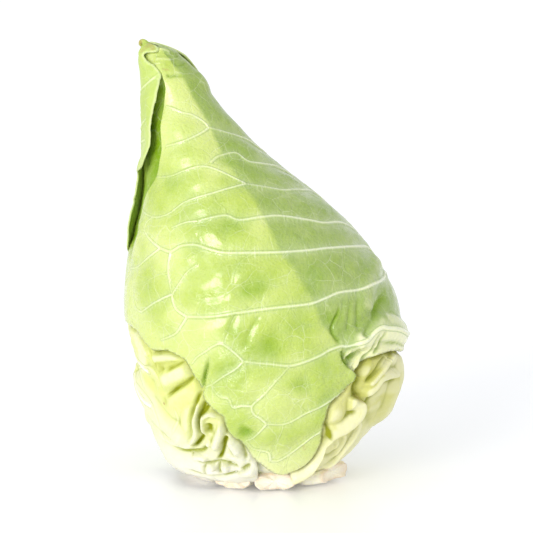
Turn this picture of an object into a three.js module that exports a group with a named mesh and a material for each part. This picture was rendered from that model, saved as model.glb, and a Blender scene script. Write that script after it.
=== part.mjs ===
// A pointed cabbage, standing on its cut stem as it is sold.
//
// Frame: millimetres, +Z up. The origin is the centre of the stem's cut face, the plane that the head stands
// on. The front wrapper leaf shows on the -Y side, and the tip leans towards -X.
//
// The head is a heart of packed inner leaves under three layers of leaves. Every leaf is a thin closed blade
// that follows one shared form, a set distance under or over it, so neighbouring layers lie parallel and never
// meet. Leaves follow each other round the stem by the golden angle, as they grew.
import * as THREE from "three";
import { mergeGeometries, mergeVertices } from "three/addons/utils/BufferGeometryUtils.js";

// Driving dimensions, mm.
const BLADE = 1.4; // thickness of a leaf blade at its middle
const LAYER = 2.2; // distance from one layer of leaves to the next
const GAP = 0.3; // clearance between pieces that rest on each other
const STEM_RADIUS = 15;
const STEM_SWELL = 1; // the stalk is this much thicker half way up
const STEM_HEIGHT = 17;
const STUB_REACH = 37; // how far out the cut leaf bases reach
const GOLDEN_ANGLE = 137.5; // turn from one leaf to the next, degrees
const MIDRIB_WIDTH = 7; // half width of a midrib, degrees round the head
const WELD = 1e-3; // points closer than this are one point

// The form: the front wrapper's outer face, from the stem out under the head and up to the tip. Each row is
// a height, a left edge, a right edge and a half depth, mm.
const OUTLINE = [
  [9.5, -16.6, 16.6, 16.6],
  [9.8, -27, 26, 25],
  [10.6, -37, 33, 33],
  [13.5, -48, 40.5, 42],
  [22, -56.5, 49.5, 50],
  [38, -62, 61, 58],
  [58, -65, 66.5, 62],
  [80, -70, 66.5, 62],
  [100, -70, 61, 60],
  [120, -67, 48, 54],
  [140, -63, 28, 45],
  [160, -60, 3, 34],
  [180, -60, -18, 23],
  [197, -60, -33, 14],
  [209, -61, -44, 8.5],
  [216, -61.5, -52, 5],
  [219, -61, -58, 1.5],
];
const UNDERSIDE = OUTLINE[0][0];

// One leaf per entry. layer counts outwards from the front wrapper. tip is a height on the form, and edges
// gives, at a height, the blade's two margins as angles round the head, degrees from +X towards +Y.
const LEAVES = [
  {
    name: "front_wrapper_leaf",
    colour: 0xb9d65c,
    layer: 0,
    tip: 217.5,
    midrib: 12,
    rib: 0.9,
    columns: 28,
    rows: 38,
    edges: [
      [UNDERSIDE, -80, -64],
      [22, -96, -60],
      [38, -110, -62],
      [50, -118, -59],
      [60, -124, -50],
      [68, -129, -53],
      [73, -142, -56],
      [78, -164, -34],
      [83, -182, 24],
      [90, -194, 62],
      [104, -200, 74],
      [180, -205, 82],
      [217.5, -205, 90],
    ],
  },
  {
    name: "left_wrapper_leaf",
    colour: 0xc6dd76,
    layer: 1,
    tip: 219,
    midrib: 149,
    rib: 1.6,
    columns: 16,
    rows: 30,
    edges: [
      [UNDERSIDE, 120, 172],
      [40, 96, 174],
      [80, 70, 176],
      [112, 58, 182],
      [155, 48, 205],
      [180, 44, 224],
      [197, 40, 244],
      [207, 30, 254],
      [219, 20, 250],
    ],
  },
  {
    name: "lower_left_leaf",
    colour: 0xf2f3cf,
    layer: -1,
    tip: 211,
    midrib: -149,
    rib: 0.4,
    columns: 11,
    rows: 22,
    edges: [
      [UNDERSIDE, -178, -118],
      [30, -204, -100],
      [80, -218, -94],
      [211, -218, -94],
    ],
  },
  {
    name: "lower_right_leaf",
    colour: 0xe9ebbb,
    layer: -1,
    tip: 211,
    midrib: -11.5,
    rib: 0.4,
    columns: 11,
    rows: 22,
    edges: [
      [UNDERSIDE, -62, 16],
      [30, -78, 24],
      [80, -90, 26],
      [211, -90, 26],
    ],
  },
  {
    name: "back_leaf",
    colour: 0xe3e9ae,
    layer: -2,
    tip: 200,
    midrib: 86,
    rib: 0.4,
    columns: 13,
    rows: 22,
    edges: [
      [UNDERSIDE, 14, 146],
      [30, 12, 154],
      [80, 8, 158],
      [200, 8, 158],
    ],
  },
  {
    name: "front_inner_leaf",
    colour: 0xf0f1c6,
    layer: -2,
    tip: 150,
    midrib: -96,
    rib: 0.3,
    columns: 7,
    rows: 16,
    edges: [
      [UNDERSIDE, -118, -70],
      [60, -124, -64],
      [150, -112, -74],
    ],
  },
];

const HEART_LAYERS = 3.1; // layers between the form and the heart's face
const HEART_FOOT = 11;
const HEART_TIP = 205;
const HEART_DOME = 2; // rise of the heart's own tip over its last row

// Bases of the outer leaves that were cut away, each a golden angle on from the one before: width round the
// stem in degrees, and height in mm, lower where the left wrapper passes over it.
const STUBS = [
  { name: "leaf_stub_front", width: 31, height: 8.4 },
  { name: "leaf_stub_back_right", width: 54, height: 8.4 },
  { name: "leaf_stub_left", width: 56, height: 6.2 },
  { name: "leaf_stub_right", width: 56, height: 8.4 },
  { name: "leaf_stub_back", width: 42, height: 6.2 },
  { name: "leaf_stub_front_left", width: 31, height: 8.4 },
];
const FIRST_STUB_ANGLE = -84;

const rad = THREE.MathUtils.degToRad;
const lerp = THREE.MathUtils.lerp;

// Smooth columns of OUTLINE, read at one shared place along the outline.
const columnCurve = (column) =>
  new THREE.SplineCurve(OUTLINE.map((row, i) => new THREE.Vector2(i, row[column])));
const [heights, lefts, rights, depths] = [0, 1, 2, 3].map(columnCurve);

/** The place along the outline, 0 to 1, where the form reaches a height. */
function placeAtHeight(height) {
  let low = 0;
  let high = 1;
  for (let i = 0; i < 40; i++) {
    const middle = (low + high) / 2;
    if (heights.getPoint(middle).y < height) low = middle;
    else high = middle;
  }
  return low;
}

/** A point on the form itself. */
function onForm(place, angle) {
  const left = lefts.getPoint(place).y;
  const right = rights.getPoint(place).y;
  return new THREE.Vector3(
    (left + right) / 2 + ((right - left) / 2) * Math.cos(angle),
    depths.getPoint(place).y * Math.sin(angle),
    heights.getPoint(place).y,
  );
}

/** A point the given distance outside the form, along its normal. */
function offForm(place, angle, distance) {
  const step = 1e-3;
  const upper = Math.min(place + step, 1);
  const lower = Math.max(place - step, 0);
  const up = onForm(upper, angle).sub(onForm(lower, angle));
  const round = onForm(place, angle + step).sub(onForm(place, angle - step));
  const normal = round.cross(up).normalize();
  return onForm(place, angle).addScaledVector(normal, distance);
}

/** The two margins at a height, eased from one row of a leaf's edges to the next. */
function marginsAt(edges, height) {
  let next = edges.findIndex((row) => row[0] > height);
  if (next < 0) next = edges.length - 1;
  if (next === 0) next = 1;
  const [z0, a0, b0] = edges[next - 1];
  const [z1, a1, b1] = edges[next];
  const share = THREE.MathUtils.clamp((height - z0) / (z1 - z0), 0, 1);
  return [lerp(a0, a1, share), lerp(b0, b1, share)];
}

/** Moves a unit plane's points by place(u, v), and turns its faces over if asked. */
function warpedPlane(columns, rows, place, turned) {
  const plane = new THREE.PlaneGeometry(1, 1, columns, rows);
  const points = plane.attributes.position;
  for (let i = 0; i < points.count; i++) {
    const spot = place(points.getX(i) + 0.5, points.getY(i) + 0.5);
    points.setXYZ(i, spot.x, spot.y, spot.z);
  }
  if (turned) plane.index.array.reverse();
  return plane;
}

/** A closed body from an outer and an inner face that share a border, without faces that shrank to nothing. */
function closedBody(columns, rows, outer, inner) {
  const faces = [warpedPlane(columns, rows, outer, false), warpedPlane(columns, rows, inner, true)];
  const both = mergeGeometries(faces);
  both.deleteAttribute("normal");
  both.deleteAttribute("uv");
  const merged = mergeVertices(both, WELD);
  const kept = [];
  for (let i = 0; i < merged.index.count; i += 3) {
    const [a, b, c] = [0, 1, 2].map((k) => merged.index.getX(i + k));
    if (a !== b && b !== c && c !== a) kept.push(a, b, c);
  }
  return merged.setIndex(kept);
}

/** Places for a blade's rows, evenly spread along whichever margin runs further from one to the next. */
function rowPlaces(leaf) {
  const samples = 400;
  const tip = placeAtHeight(leaf.tip);
  const marginPoints = (i) => {
    const place = (tip * i) / samples;
    return marginsAt(leaf.edges, onForm(place, 0).z).map((angle) => onForm(place, rad(angle)));
  };
  const reach = [0];
  for (let i = 1; i <= samples; i++) {
    const [before, now] = [marginPoints(i - 1), marginPoints(i)];
    reach.push(reach[i - 1] + Math.max(now[0].distanceTo(before[0]), now[1].distanceTo(before[1])));
  }
  return Array.from({ length: leaf.rows + 1 }, (_, row) => {
    const wanted = (reach[samples] * row) / leaf.rows;
    const sample = row === leaf.rows ? samples : reach.findIndex((r) => r >= wanted);
    return (tip * sample) / samples;
  });
}

/** A leaf as a closed blade on its layer, with its midrib standing out of the outer face. */
function leafGeometry(leaf) {
  const places = rowPlaces(leaf);
  const firstColumn = Math.min(...leaf.edges.map((row) => row[1]));
  const lastColumn = Math.max(...leaf.edges.map((row) => row[2]));
  const snap = (lastColumn - firstColumn) / leaf.columns / 3;
  const spot = (u, v, side) => {
    const row = Math.round(v * leaf.rows);
    const [first, last] = marginsAt(leaf.edges, onForm(places[row], 0).z);
    let angle = lerp(firstColumn, lastColumn, u);
    if (angle < first + snap) angle = first;
    if (angle > last - snap) angle = last;
    const onBorder = angle === first || angle === last || row === 0 || row === leaf.rows;
    const fromMidrib = (angle - leaf.midrib) / MIDRIB_WIDTH;
    const rib = side > 0 ? leaf.rib * Math.exp(-fromMidrib * fromMidrib) * (1 - v) : 0;
    const proud = onBorder ? 0 : side * (BLADE / 2) + rib;
    return offForm(places[row], rad(angle), leaf.layer * LAYER - BLADE / 2 + proud);
  };
  return closedBody(
    leaf.columns,
    leaf.rows,
    (u, v) => spot(u, v, 1),
    (u, v) => spot(u, v, -1),
  );
}

/** The heart: a sphere's grid laid on the form, well under its leaves, with a flat foot. */
function heartGeometry() {
  const columns = 24;
  const rows = 18;
  const foot = placeAtHeight(HEART_FOOT);
  const tip = placeAtHeight(HEART_TIP);
  const ball = new THREE.SphereGeometry(1, columns, rows);
  const spots = ball.attributes.position;
  const uv = ball.attributes.uv;
  for (let i = 0; i < spots.count; i++) {
    const row = Math.round(uv.getY(i) * rows);
    const place = lerp(foot, tip, THREE.MathUtils.clamp((row - 1) / (rows - 2), 0, 1));
    const facing = (angle) => offForm(place, angle, -HEART_LAYERS * LAYER);
    const atPole = row === 0 || row === rows;
    const spot = atPole ? facing(0).lerp(facing(Math.PI), 0.5) : facing(uv.getX(i) * 2 * Math.PI);
    if (row <= 1) spot.z = STEM_HEIGHT + GAP;
    if (row === rows) spot.z += HEART_DOME;
    spots.setXYZ(i, spot.x, spot.y, spot.z);
  }
  ball.deleteAttribute("normal");
  ball.deleteAttribute("uv");
  return mergeVertices(ball, WELD);
}

/** The cut stem: a short stalk with a flat cut face below and a worn edge. */
function stemGeometry() {
  const bevel = 1.5;
  const profile = [
    [0, 0],
    [STEM_RADIUS - bevel, 0],
    [STEM_RADIUS, bevel],
    [STEM_RADIUS + STEM_SWELL, STEM_HEIGHT / 2],
    [STEM_RADIUS, STEM_HEIGHT],
    [0, STEM_HEIGHT],
  ];
  return new THREE.LatheGeometry(
    profile.map(([r, z]) => new THREE.Vector2(r, z)),
    32,
  ).rotateX(Math.PI / 2);
}

/** A cut leaf base: flat below where it stands, its rounded outer end curled up round the head's foot. */
function stubGeometry(stub, angle) {
  const inner = STEM_RADIUS + STEM_SWELL + GAP;
  const curlFrom = 0.55; // share of the reach that lies flat
  const curl = 5;
  const thinning = 1.5; // loss of height from the stem to the outer end
  const spot = (u, v, side) => {
    const acrossEdge = (2 * u - 1) ** 2;
    const radius = lerp(inner, STUB_REACH * (1 - 0.1 * acrossEdge), v);
    const turn = rad(angle + (0.5 - u) * stub.width);
    const under = curl * Math.max(0, (v - curlFrom) / (1 - curlFrom)) ** 2;
    const over = (stub.height - thinning * v) * (1 - 0.35 * acrossEdge) + under / 2;
    const onBorder = u === 0 || u === 1 || v === 0 || v === 1;
    const z = onBorder ? (under + over) / 2 : side > 0 ? over : under;
    return new THREE.Vector3(radius * Math.cos(turn), radius * Math.sin(turn), z);
  };
  return closedBody(
    8,
    6,
    (u, v) => spot(u, v, 1),
    (u, v) => spot(u, v, -1),
  );
}

/** A named mesh in its own material. */
function piece(name, geometry, colour, roughness) {
  const material = new THREE.MeshStandardMaterial({ color: colour, roughness, metalness: 0 });
  const mesh = new THREE.Mesh(geometry, material);
  mesh.name = name;
  return mesh;
}

const cabbage = new THREE.Group();
cabbage.add(piece("stem", stemGeometry(), 0xf1ead2, 0.6));
cabbage.add(piece("heart", heartGeometry(), 0xeef0c4, 0.5));
for (const leaf of LEAVES) cabbage.add(piece(leaf.name, leafGeometry(leaf), leaf.colour, 0.4));
STUBS.forEach((stub, i) => {
  cabbage.add(piece(stub.name, stubGeometry(stub, FIRST_STUB_ANGLE + i * GOLDEN_ANGLE), 0xf3ecd3, 0.6));
});

export default cabbage;
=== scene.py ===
"""A pointed cabbage standing on its cut stem: crumpled, veined leaves laid round a packed heart.

The head has one smooth form. Every leaf is a closed sheet laid a set distance over or under that form, and
its veins, folds and creases are worked into the sheet along lines. Lengths are in millimetres until a mesh
is made. Angles are degrees round the head from +X towards +Y: -90 faces the viewer and 180 is the left side.
"""
import logging
import math
from dataclasses import dataclass, field
from enum import Enum

import bpy
import numpy as np
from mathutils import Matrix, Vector


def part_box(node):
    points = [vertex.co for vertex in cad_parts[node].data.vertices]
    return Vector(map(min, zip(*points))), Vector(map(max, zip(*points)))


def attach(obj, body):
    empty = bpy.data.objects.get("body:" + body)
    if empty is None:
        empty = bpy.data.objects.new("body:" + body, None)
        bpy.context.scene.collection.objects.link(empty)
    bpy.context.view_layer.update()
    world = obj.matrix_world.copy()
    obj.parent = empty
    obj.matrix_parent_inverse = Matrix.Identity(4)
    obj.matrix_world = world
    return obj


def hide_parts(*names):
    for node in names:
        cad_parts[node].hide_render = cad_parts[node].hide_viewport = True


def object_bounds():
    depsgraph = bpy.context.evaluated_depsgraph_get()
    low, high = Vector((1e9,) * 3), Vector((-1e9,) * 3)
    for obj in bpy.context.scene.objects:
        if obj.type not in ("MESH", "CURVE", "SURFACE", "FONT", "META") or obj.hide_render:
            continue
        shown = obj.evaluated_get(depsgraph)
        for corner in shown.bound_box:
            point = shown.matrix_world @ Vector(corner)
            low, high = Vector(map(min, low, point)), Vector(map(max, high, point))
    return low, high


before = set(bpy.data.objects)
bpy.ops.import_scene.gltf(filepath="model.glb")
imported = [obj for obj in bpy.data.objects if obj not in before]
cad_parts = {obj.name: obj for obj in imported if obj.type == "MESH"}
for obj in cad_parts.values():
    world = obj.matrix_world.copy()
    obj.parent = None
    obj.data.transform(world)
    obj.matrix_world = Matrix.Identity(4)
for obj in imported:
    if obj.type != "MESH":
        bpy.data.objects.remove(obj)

CAD_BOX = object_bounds()
BODY = "root"
MM = 0.001
GOLDEN_ANGLE = 137.5

Array = np.ndarray
Point = tuple[float, float]
Route = tuple[Point, ...]
Colour = tuple[float, float, float, float]
Piece = bpy.types.Object
Material = bpy.types.Material
Tree = bpy.types.NodeTree
Socket = bpy.types.NodeSocket
Sockets = bpy.types.bpy_prop_collection
Inputs = dict[str | int, object]

log = logging.getLogger("cabbage")


def hexed(code: str) -> Colour:
    """Reads a display colour such as "c9e080" as the linear colour that shaders use.

    Args:
        code: six hexadecimal digits.

    Returns:
        Linear red, green, blue and an alpha of 1.
    """
    parts = [int(code[i : i + 2], 16) / 255 for i in (0, 2, 4)]
    red, green, blue = [c / 12.92 if c <= 0.04045 else ((c + 0.055) / 1.055) ** 2.4 for c in parts]
    return (red, green, blue, 1.0)


def ease(value: Array) -> Array:
    """Eases a value from 0 to 1, flat at both ends."""
    t = np.clip(value, 0, 1)
    return t * t * (3 - 2 * t)


def unit(rows: Array) -> Array:
    """Scales each row to a length of one."""
    return rows / np.linalg.norm(rows, axis=1, keepdims=True)


def lift(values: Array, index: Array, least: Array) -> None:
    """Raises some of the values to at least those given."""
    values[index] = np.maximum(values[index], least)


def hermite(start: Array, end: Array, leave: Array, arrive: Array, share: Array) -> Array:
    """Blends from one knot to the next along a cubic.

    Args:
        start: the first knot.
        end: the second knot.
        leave: the slope at the first, over the whole span.
        arrive: the slope at the second, over the whole span.
        share: how far along the span, from 0 to 1.

    Returns:
        The places along the cubic.
    """
    cubic = 2 * start - 2 * end + leave + arrive
    square = 3 * end - 3 * start - 2 * leave - arrive
    return cubic * share**3 + square * share**2 + leave * share + start


def smooth_curve(knots: Array, spots: Array) -> Array:
    """Reads a smooth curve that passes through its knots at equal steps.

    Args:
        knots: one row per knot.
        spots: places along the curve, from 0 to 1.

    Returns:
        One row per place.
    """
    last = len(knots) - 1
    place = np.clip(spots, 0, 1) * last
    index = np.minimum(place.astype(int), last - 1)
    start, end = knots[index], knots[index + 1]
    leave = (end - knots[np.maximum(index - 1, 0)]) / 2
    arrive = (knots[np.minimum(index + 2, last)] - start) / 2
    return hermite(start, end, leave, arrive, (place - index)[:, None])


@dataclass
class Form:
    """The head's smooth shape: rings that are ellipses, from under the head to the tip.

    A place on it is an angle and a reach, which runs from 0 under the head to 1 at the tip.
    """

    stations: Array
    sag: float = 7.0
    steps: int = 2400
    rings: Array = field(init=False)
    reaches: Array = field(init=False)
    length: float = field(init=False)

    def __post_init__(self) -> None:
        """Tabulates the rings against the distance travelled up the head."""
        self.rings = smooth_curve(self.stations, np.linspace(0, 1, self.steps + 1))
        height, left, right, depth = self.rings.T
        level = np.zeros_like(height)
        lines = [(left, level, height), (right, level, height), ((left + right) / 2, depth, height)]
        steps = [np.linalg.norm(np.diff(np.stack(line, 1), axis=0), axis=1) for line in lines]
        travel = np.concatenate(([0], np.cumsum(np.mean(steps, axis=0))))
        self.length = float(travel[-1])
        self.reaches = travel / self.length

    def ring(self, reach: Array) -> tuple[Array, Array, Array, Array]:
        """Gives the height, middle, half width and half depth of the ring at a reach."""
        height, left, right, depth = [np.interp(reach, self.reaches, column) for column in self.rings.T]
        return height, (left + right) / 2, (right - left) / 2, depth

    def reach_at(self, height: Array) -> Array:
        """Gives the reach of a height."""
        return np.interp(height, self.rings[:, 0], self.reaches)

    def point(self, angle: Array, reach: Array) -> Array:
        """Gives points of the form, low down with the sag of the lowest leaves.

        Args:
            angle: their angles.
            reach: their reaches.

        Returns:
            The points, one row each.
        """
        height, middle, width, depth = self.ring(reach)
        turn = np.radians(angle)
        sunk = self.sag * ease((height - SAG_INNER) / SAG_IN) * (1 - ease((height - SAG_OUTER) / SAG_OUT))
        sunk *= 0.5 - 0.5 * np.cos(turn - math.radians(SAG_AWAY))
        return np.stack((middle + width * np.cos(turn), depth * np.sin(turn), height - sunk), 1)

    def normal(self, angle: Array, reach: Array) -> Array:
        """Gives the form's outward unit normals.

        Args:
            angle: the places' angles.
            reach: the places' reaches.

        Returns:
            The normals, one row each.
        """
        step = 1 / 400  # a share of the head that is short against any bend of it
        _, _, width, depth = self.ring(reach)
        turn = np.radians(angle)
        across = np.stack((-width * np.sin(turn), depth * np.cos(turn), np.zeros_like(turn)), 1)
        above = self.point(angle, np.minimum(reach + step, 1))
        upward = above - self.point(angle, np.maximum(reach - step, 0))
        return unit(np.cross(across, upward))

    def per_degree(self, reach: Array) -> Array:
        """Gives the mean distance round the ring for one degree, mm."""
        _, _, width, depth = self.ring(reach)
        return np.radians((width + depth) / 2)


# Rings of the form: height, left edge, right edge and half depth, as in the model and one more at the tip.
STATIONS = (
    (9.5, -16.6, 16.6, 16.6),
    (9.8, -27, 26, 25),
    (10.6, -37, 33, 33),
    (13.5, -48, 40.5, 42),
    (22, -56.5, 49.5, 50),
    (38, -62, 61, 58),
    (58, -65, 66.5, 62),
    (80, -70, 66.5, 62),
    (100, -70, 61, 60),
    (120, -67, 48, 54),
    (140, -63, 28, 45),
    (160, -60, 3, 34),
    (180, -60, -17.5, 23),
    (191, -60, -26.5, 17),
    (201, -60, -33, 13),
    (209, -61, -40.5, 9.5),
    (214.4, -61, -48, 6.5),
    (217, -60.4, -54, 3),
    (217.8, -59.4, -57.6, 0.3),
)
SAG_INNER, SAG_OUTER = 9.8, 13.0  # heights of the form between which its sag is full
SAG_IN, SAG_OUT = 1.5, 14.0  # heights over which it comes in below them and goes out above
SAG_AWAY = 45  # the angle on whose far side the form sags most
MODEL_HEIGHT = 220.3
FIT = (CAD_BOX[1][2] - CAD_BOX[0][2]) / MM / MODEL_HEIGHT
FORM = Form(np.array(STATIONS) * FIT)
QUILT_DROP = 11.0  # how much less the blade sinks towards veins that are lower than half a millimetre
LAYER = 2.2  # distance from one layer of leaves to the next
MM_PER_DEGREE = 1.1  # round the widest part of the head
CHUNK = 8  # steps of a line that are measured together
HALO = 2.6  # how far from a vein the tissue is paler
TRENCH_DEPTH = 0.35  # depth of the trenches beside a vein, as a share of the vein's height
TRENCH_SPREAD = 7.0  # how much wider than the vein they spread, squared
CREASE_REACH = 6.0  # how far beyond a crease's width its surroundings count
GROOVE_POWER = 1.4  # 1 gives a crease straight sides, 2 round ones
STEP_FADE = 10.0  # length over which the ends of a step run out
UNDER_START = 6.0  # how far before a step the inner face starts to sink
UNDER_RUN = 5.0  # the distance over which it does
VEIN_END = 0.35  # how much of a vein's size is left at its very ends
HIGH_FOLD = 3.0  # the height from which a fold's crest gets its full painted highlight
RUFFLE_STEP = 1.2  # distance between the corners of a wavering edge
KNOT_STEPS = 7  # steps of a line from one of its knots to the next
BAND = 400  # places that are tested against an outline together


def front(*places: float, turns: int = 0) -> Route:
    """Takes points of a front elevation onto the near side of the form.

    Args:
        places: for each point in turn its distance right of the stem's axis and its height.
        turns: whole turns to add, where a leaf counts its angles past 180.

    Returns:
        The route as angles and heights.
    """
    route = []
    for x, z in zip(places[::2], places[1::2]):
        _, middle, width, _ = FORM.ring(FORM.reach_at(np.array([z])))
        sighted = math.degrees(math.acos(min(1.0, max(-1.0, (x - middle[0]) / width[0]))))
        route.append((turns * 360 - sighted, z))
    return tuple(route)


def drawn(route: Route, parts: int) -> Array:
    """Draws a smooth line through a route, without overshooting where its knots are unevenly spaced.

    Args:
        route: the knots as angles and heights.
        parts: how many steps to take from one knot to the next.

    Returns:
        The line as rows of angle and reach.
    """
    scale = np.array((MM_PER_DEGREE, FORM.length))
    knots = np.array(route, float)
    knots[:, 1] = FORM.reach_at(knots[:, 1])
    knots *= scale
    steps = np.diff(knots, axis=0)
    gaps = np.sqrt(np.maximum(np.linalg.norm(steps, axis=1, keepdims=True), 0.1))
    slopes = steps / gaps
    across = (knots[2:] - knots[:-2]) / (gaps[:-1] + gaps[1:])
    tangents = np.concatenate((slopes[:1], slopes[:-1] - across + slopes[1:], slopes[-1:]))
    share = (np.arange(parts) / parts)[:, None]
    spans = zip(knots[:-1], knots[1:], tangents[:-1] * gaps, tangents[1:] * gaps)
    line = np.concatenate([hermite(*span, share) for span in spans] + [knots[-1:]]) / scale
    line[:, 1] = np.clip(line[:, 1], 0, 1)
    return line


def nearest(
    spots: Array, line: Array, limit: float, scale: Array | float = 1.0
) -> tuple[Array, Array, Array]:
    """Finds the nearest place on a line for each spot that is near enough.

    Args:
        spots: places, one row each.
        line: the line's corners, one row each.
        limit: the furthest distance that counts.
        scale: millimetres per unit of the rows' numbers, for each spot where it isn't the same for all.

    Returns:
        For each spot the squared distance, the line's step, or -1 past the limit, and the share along it.
    """
    start, step = line[:-1], np.diff(line, axis=0)
    square = np.full(len(spots), float(limit) ** 2)
    segment, share = np.full(len(spots), -1), np.zeros(len(spots))
    for first in range(0, len(step), CHUNK):
        part = slice(first, first + CHUNK)
        ends = line[first : first + CHUNK + 1]
        beyond = np.maximum(ends.min(0) - spots, spots - ends.max(0)) * scale
        index = np.nonzero(np.all(beyond < limit, axis=1))[0]
        size = scale if isinstance(scale, float) else scale[index][:, None, :]
        from_start, run = (spots[index][:, None, :] - start[part]) * size, step[part] * size
        along = np.clip((from_start * run).sum(-1) / np.maximum((run * run).sum(-1), 1e-12), 0, 1)
        squares = ((from_start - along[..., None] * run) ** 2).sum(-1)
        best = np.argmin(squares, axis=1)
        row = np.arange(len(index))
        closer = squares[row, best] < square[index]
        row, best, index = row[closer], best[closer], index[closer]
        square[index], segment[index], share[index] = squares[row, best], first + best, along[row, best]
    return square, segment, share


@dataclass
class Nearness:
    """How some points lie to a line: which points, and for each the signed distance and the travel along it.

    Distances are positive to the left of the line's travel, as seen from outside the head.
    """

    index: Array
    distance: Array
    travel: Array
    rightward: Array


class Trace:
    """A smooth line drawn on the form, along which something is worked into a leaf."""

    def __init__(self, route: Route) -> None:
        """Lays the line, whose knots are given as angles and heights, on the form."""
        knots = np.array(route, float)
        knots[:, 1] = FORM.reach_at(knots[:, 1])
        line = smooth_curve(knots, np.linspace(0, 1, KNOT_STEPS * (len(knots) - 1) + 1))
        self.points = FORM.point(line[:, 0], line[:, 1])
        self.normals = FORM.normal(line[:, 0], line[:, 1])
        steps = np.diff(self.points, axis=0)
        self.lengths = np.linalg.norm(steps, axis=1)
        self.steps = steps / np.maximum(self.lengths, 1e-9)[:, None]
        self.travel = np.concatenate(([0], np.cumsum(self.lengths)))
        self.length = float(self.travel[-1])

    def near(self, points: Array, reach: float) -> Nearness:
        """Finds the points within reach of the line.

        Args:
            points: places on the form, one row each.
            reach: the furthest distance that counts.

        Returns:
            How those points lie to the line.
        """
        square, segment, share = nearest(points, self.points, reach)
        index = np.nonzero(segment >= 0)[0]
        near = segment[index]
        rightward = np.cross(self.steps[near], self.normals[near])
        away = points[index] - self.points[near]
        side = np.where(np.einsum("nk,nk->n", rightward, away) > 0, -1.0, 1.0)
        travel = self.travel[near] + share[index] * self.lengths[near]
        return Nearness(index, side * np.sqrt(square[index]), travel, rightward)


@dataclass
class Fold:
    """A raised fold. Where folds overlap the higher one shows, so that they meet in creases.

    height is at its crest, left and right are its reaches to either side, fade is the length over which its
    ends run out, and lean is how far the crest hangs over its right side.
    """

    route: Route
    height: float
    left: float
    right: float
    fade: float = 5.0
    lean: float = 0.0


@dataclass
class Crease:
    """A narrow valley. Its depth counts from the surface round it, finish is the fade at its last end, and
    tint is how strongly it is painted with shade.
    """

    route: Route
    depth: float
    width: float
    fade: float = 5.0
    finish: float = 5.0
    tint: float = 1.0


@dataclass
class Vein:
    """A raised vein that tapers along its route. coarse is how many times larger its mesh's cells may be."""

    route: Route
    width: float
    height: float
    taper: float = 0.5
    fade: float = 3.0
    coarse: float = 1.0


@dataclass
class Step:
    """A line whose left side lies lower, such as where a leaf tucks in under its neighbour. tint is how
    strongly the lower side is painted with shade.
    """

    route: Route
    depth: float
    width: float
    reach: float
    tint: float = 1.0


@dataclass
class Worked:
    """What the lines do at some points: how far each moves, how deep its surroundings go, and its masks.

    drop and under are how far steps lower the outer and the inner face, whether or not a leaf covers them.
    """

    move: Array
    floor: Array
    vein: Array
    near: Array
    along: Array
    hollow_shade: Array
    crest: Array
    drop: Array
    under: Array


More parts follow.
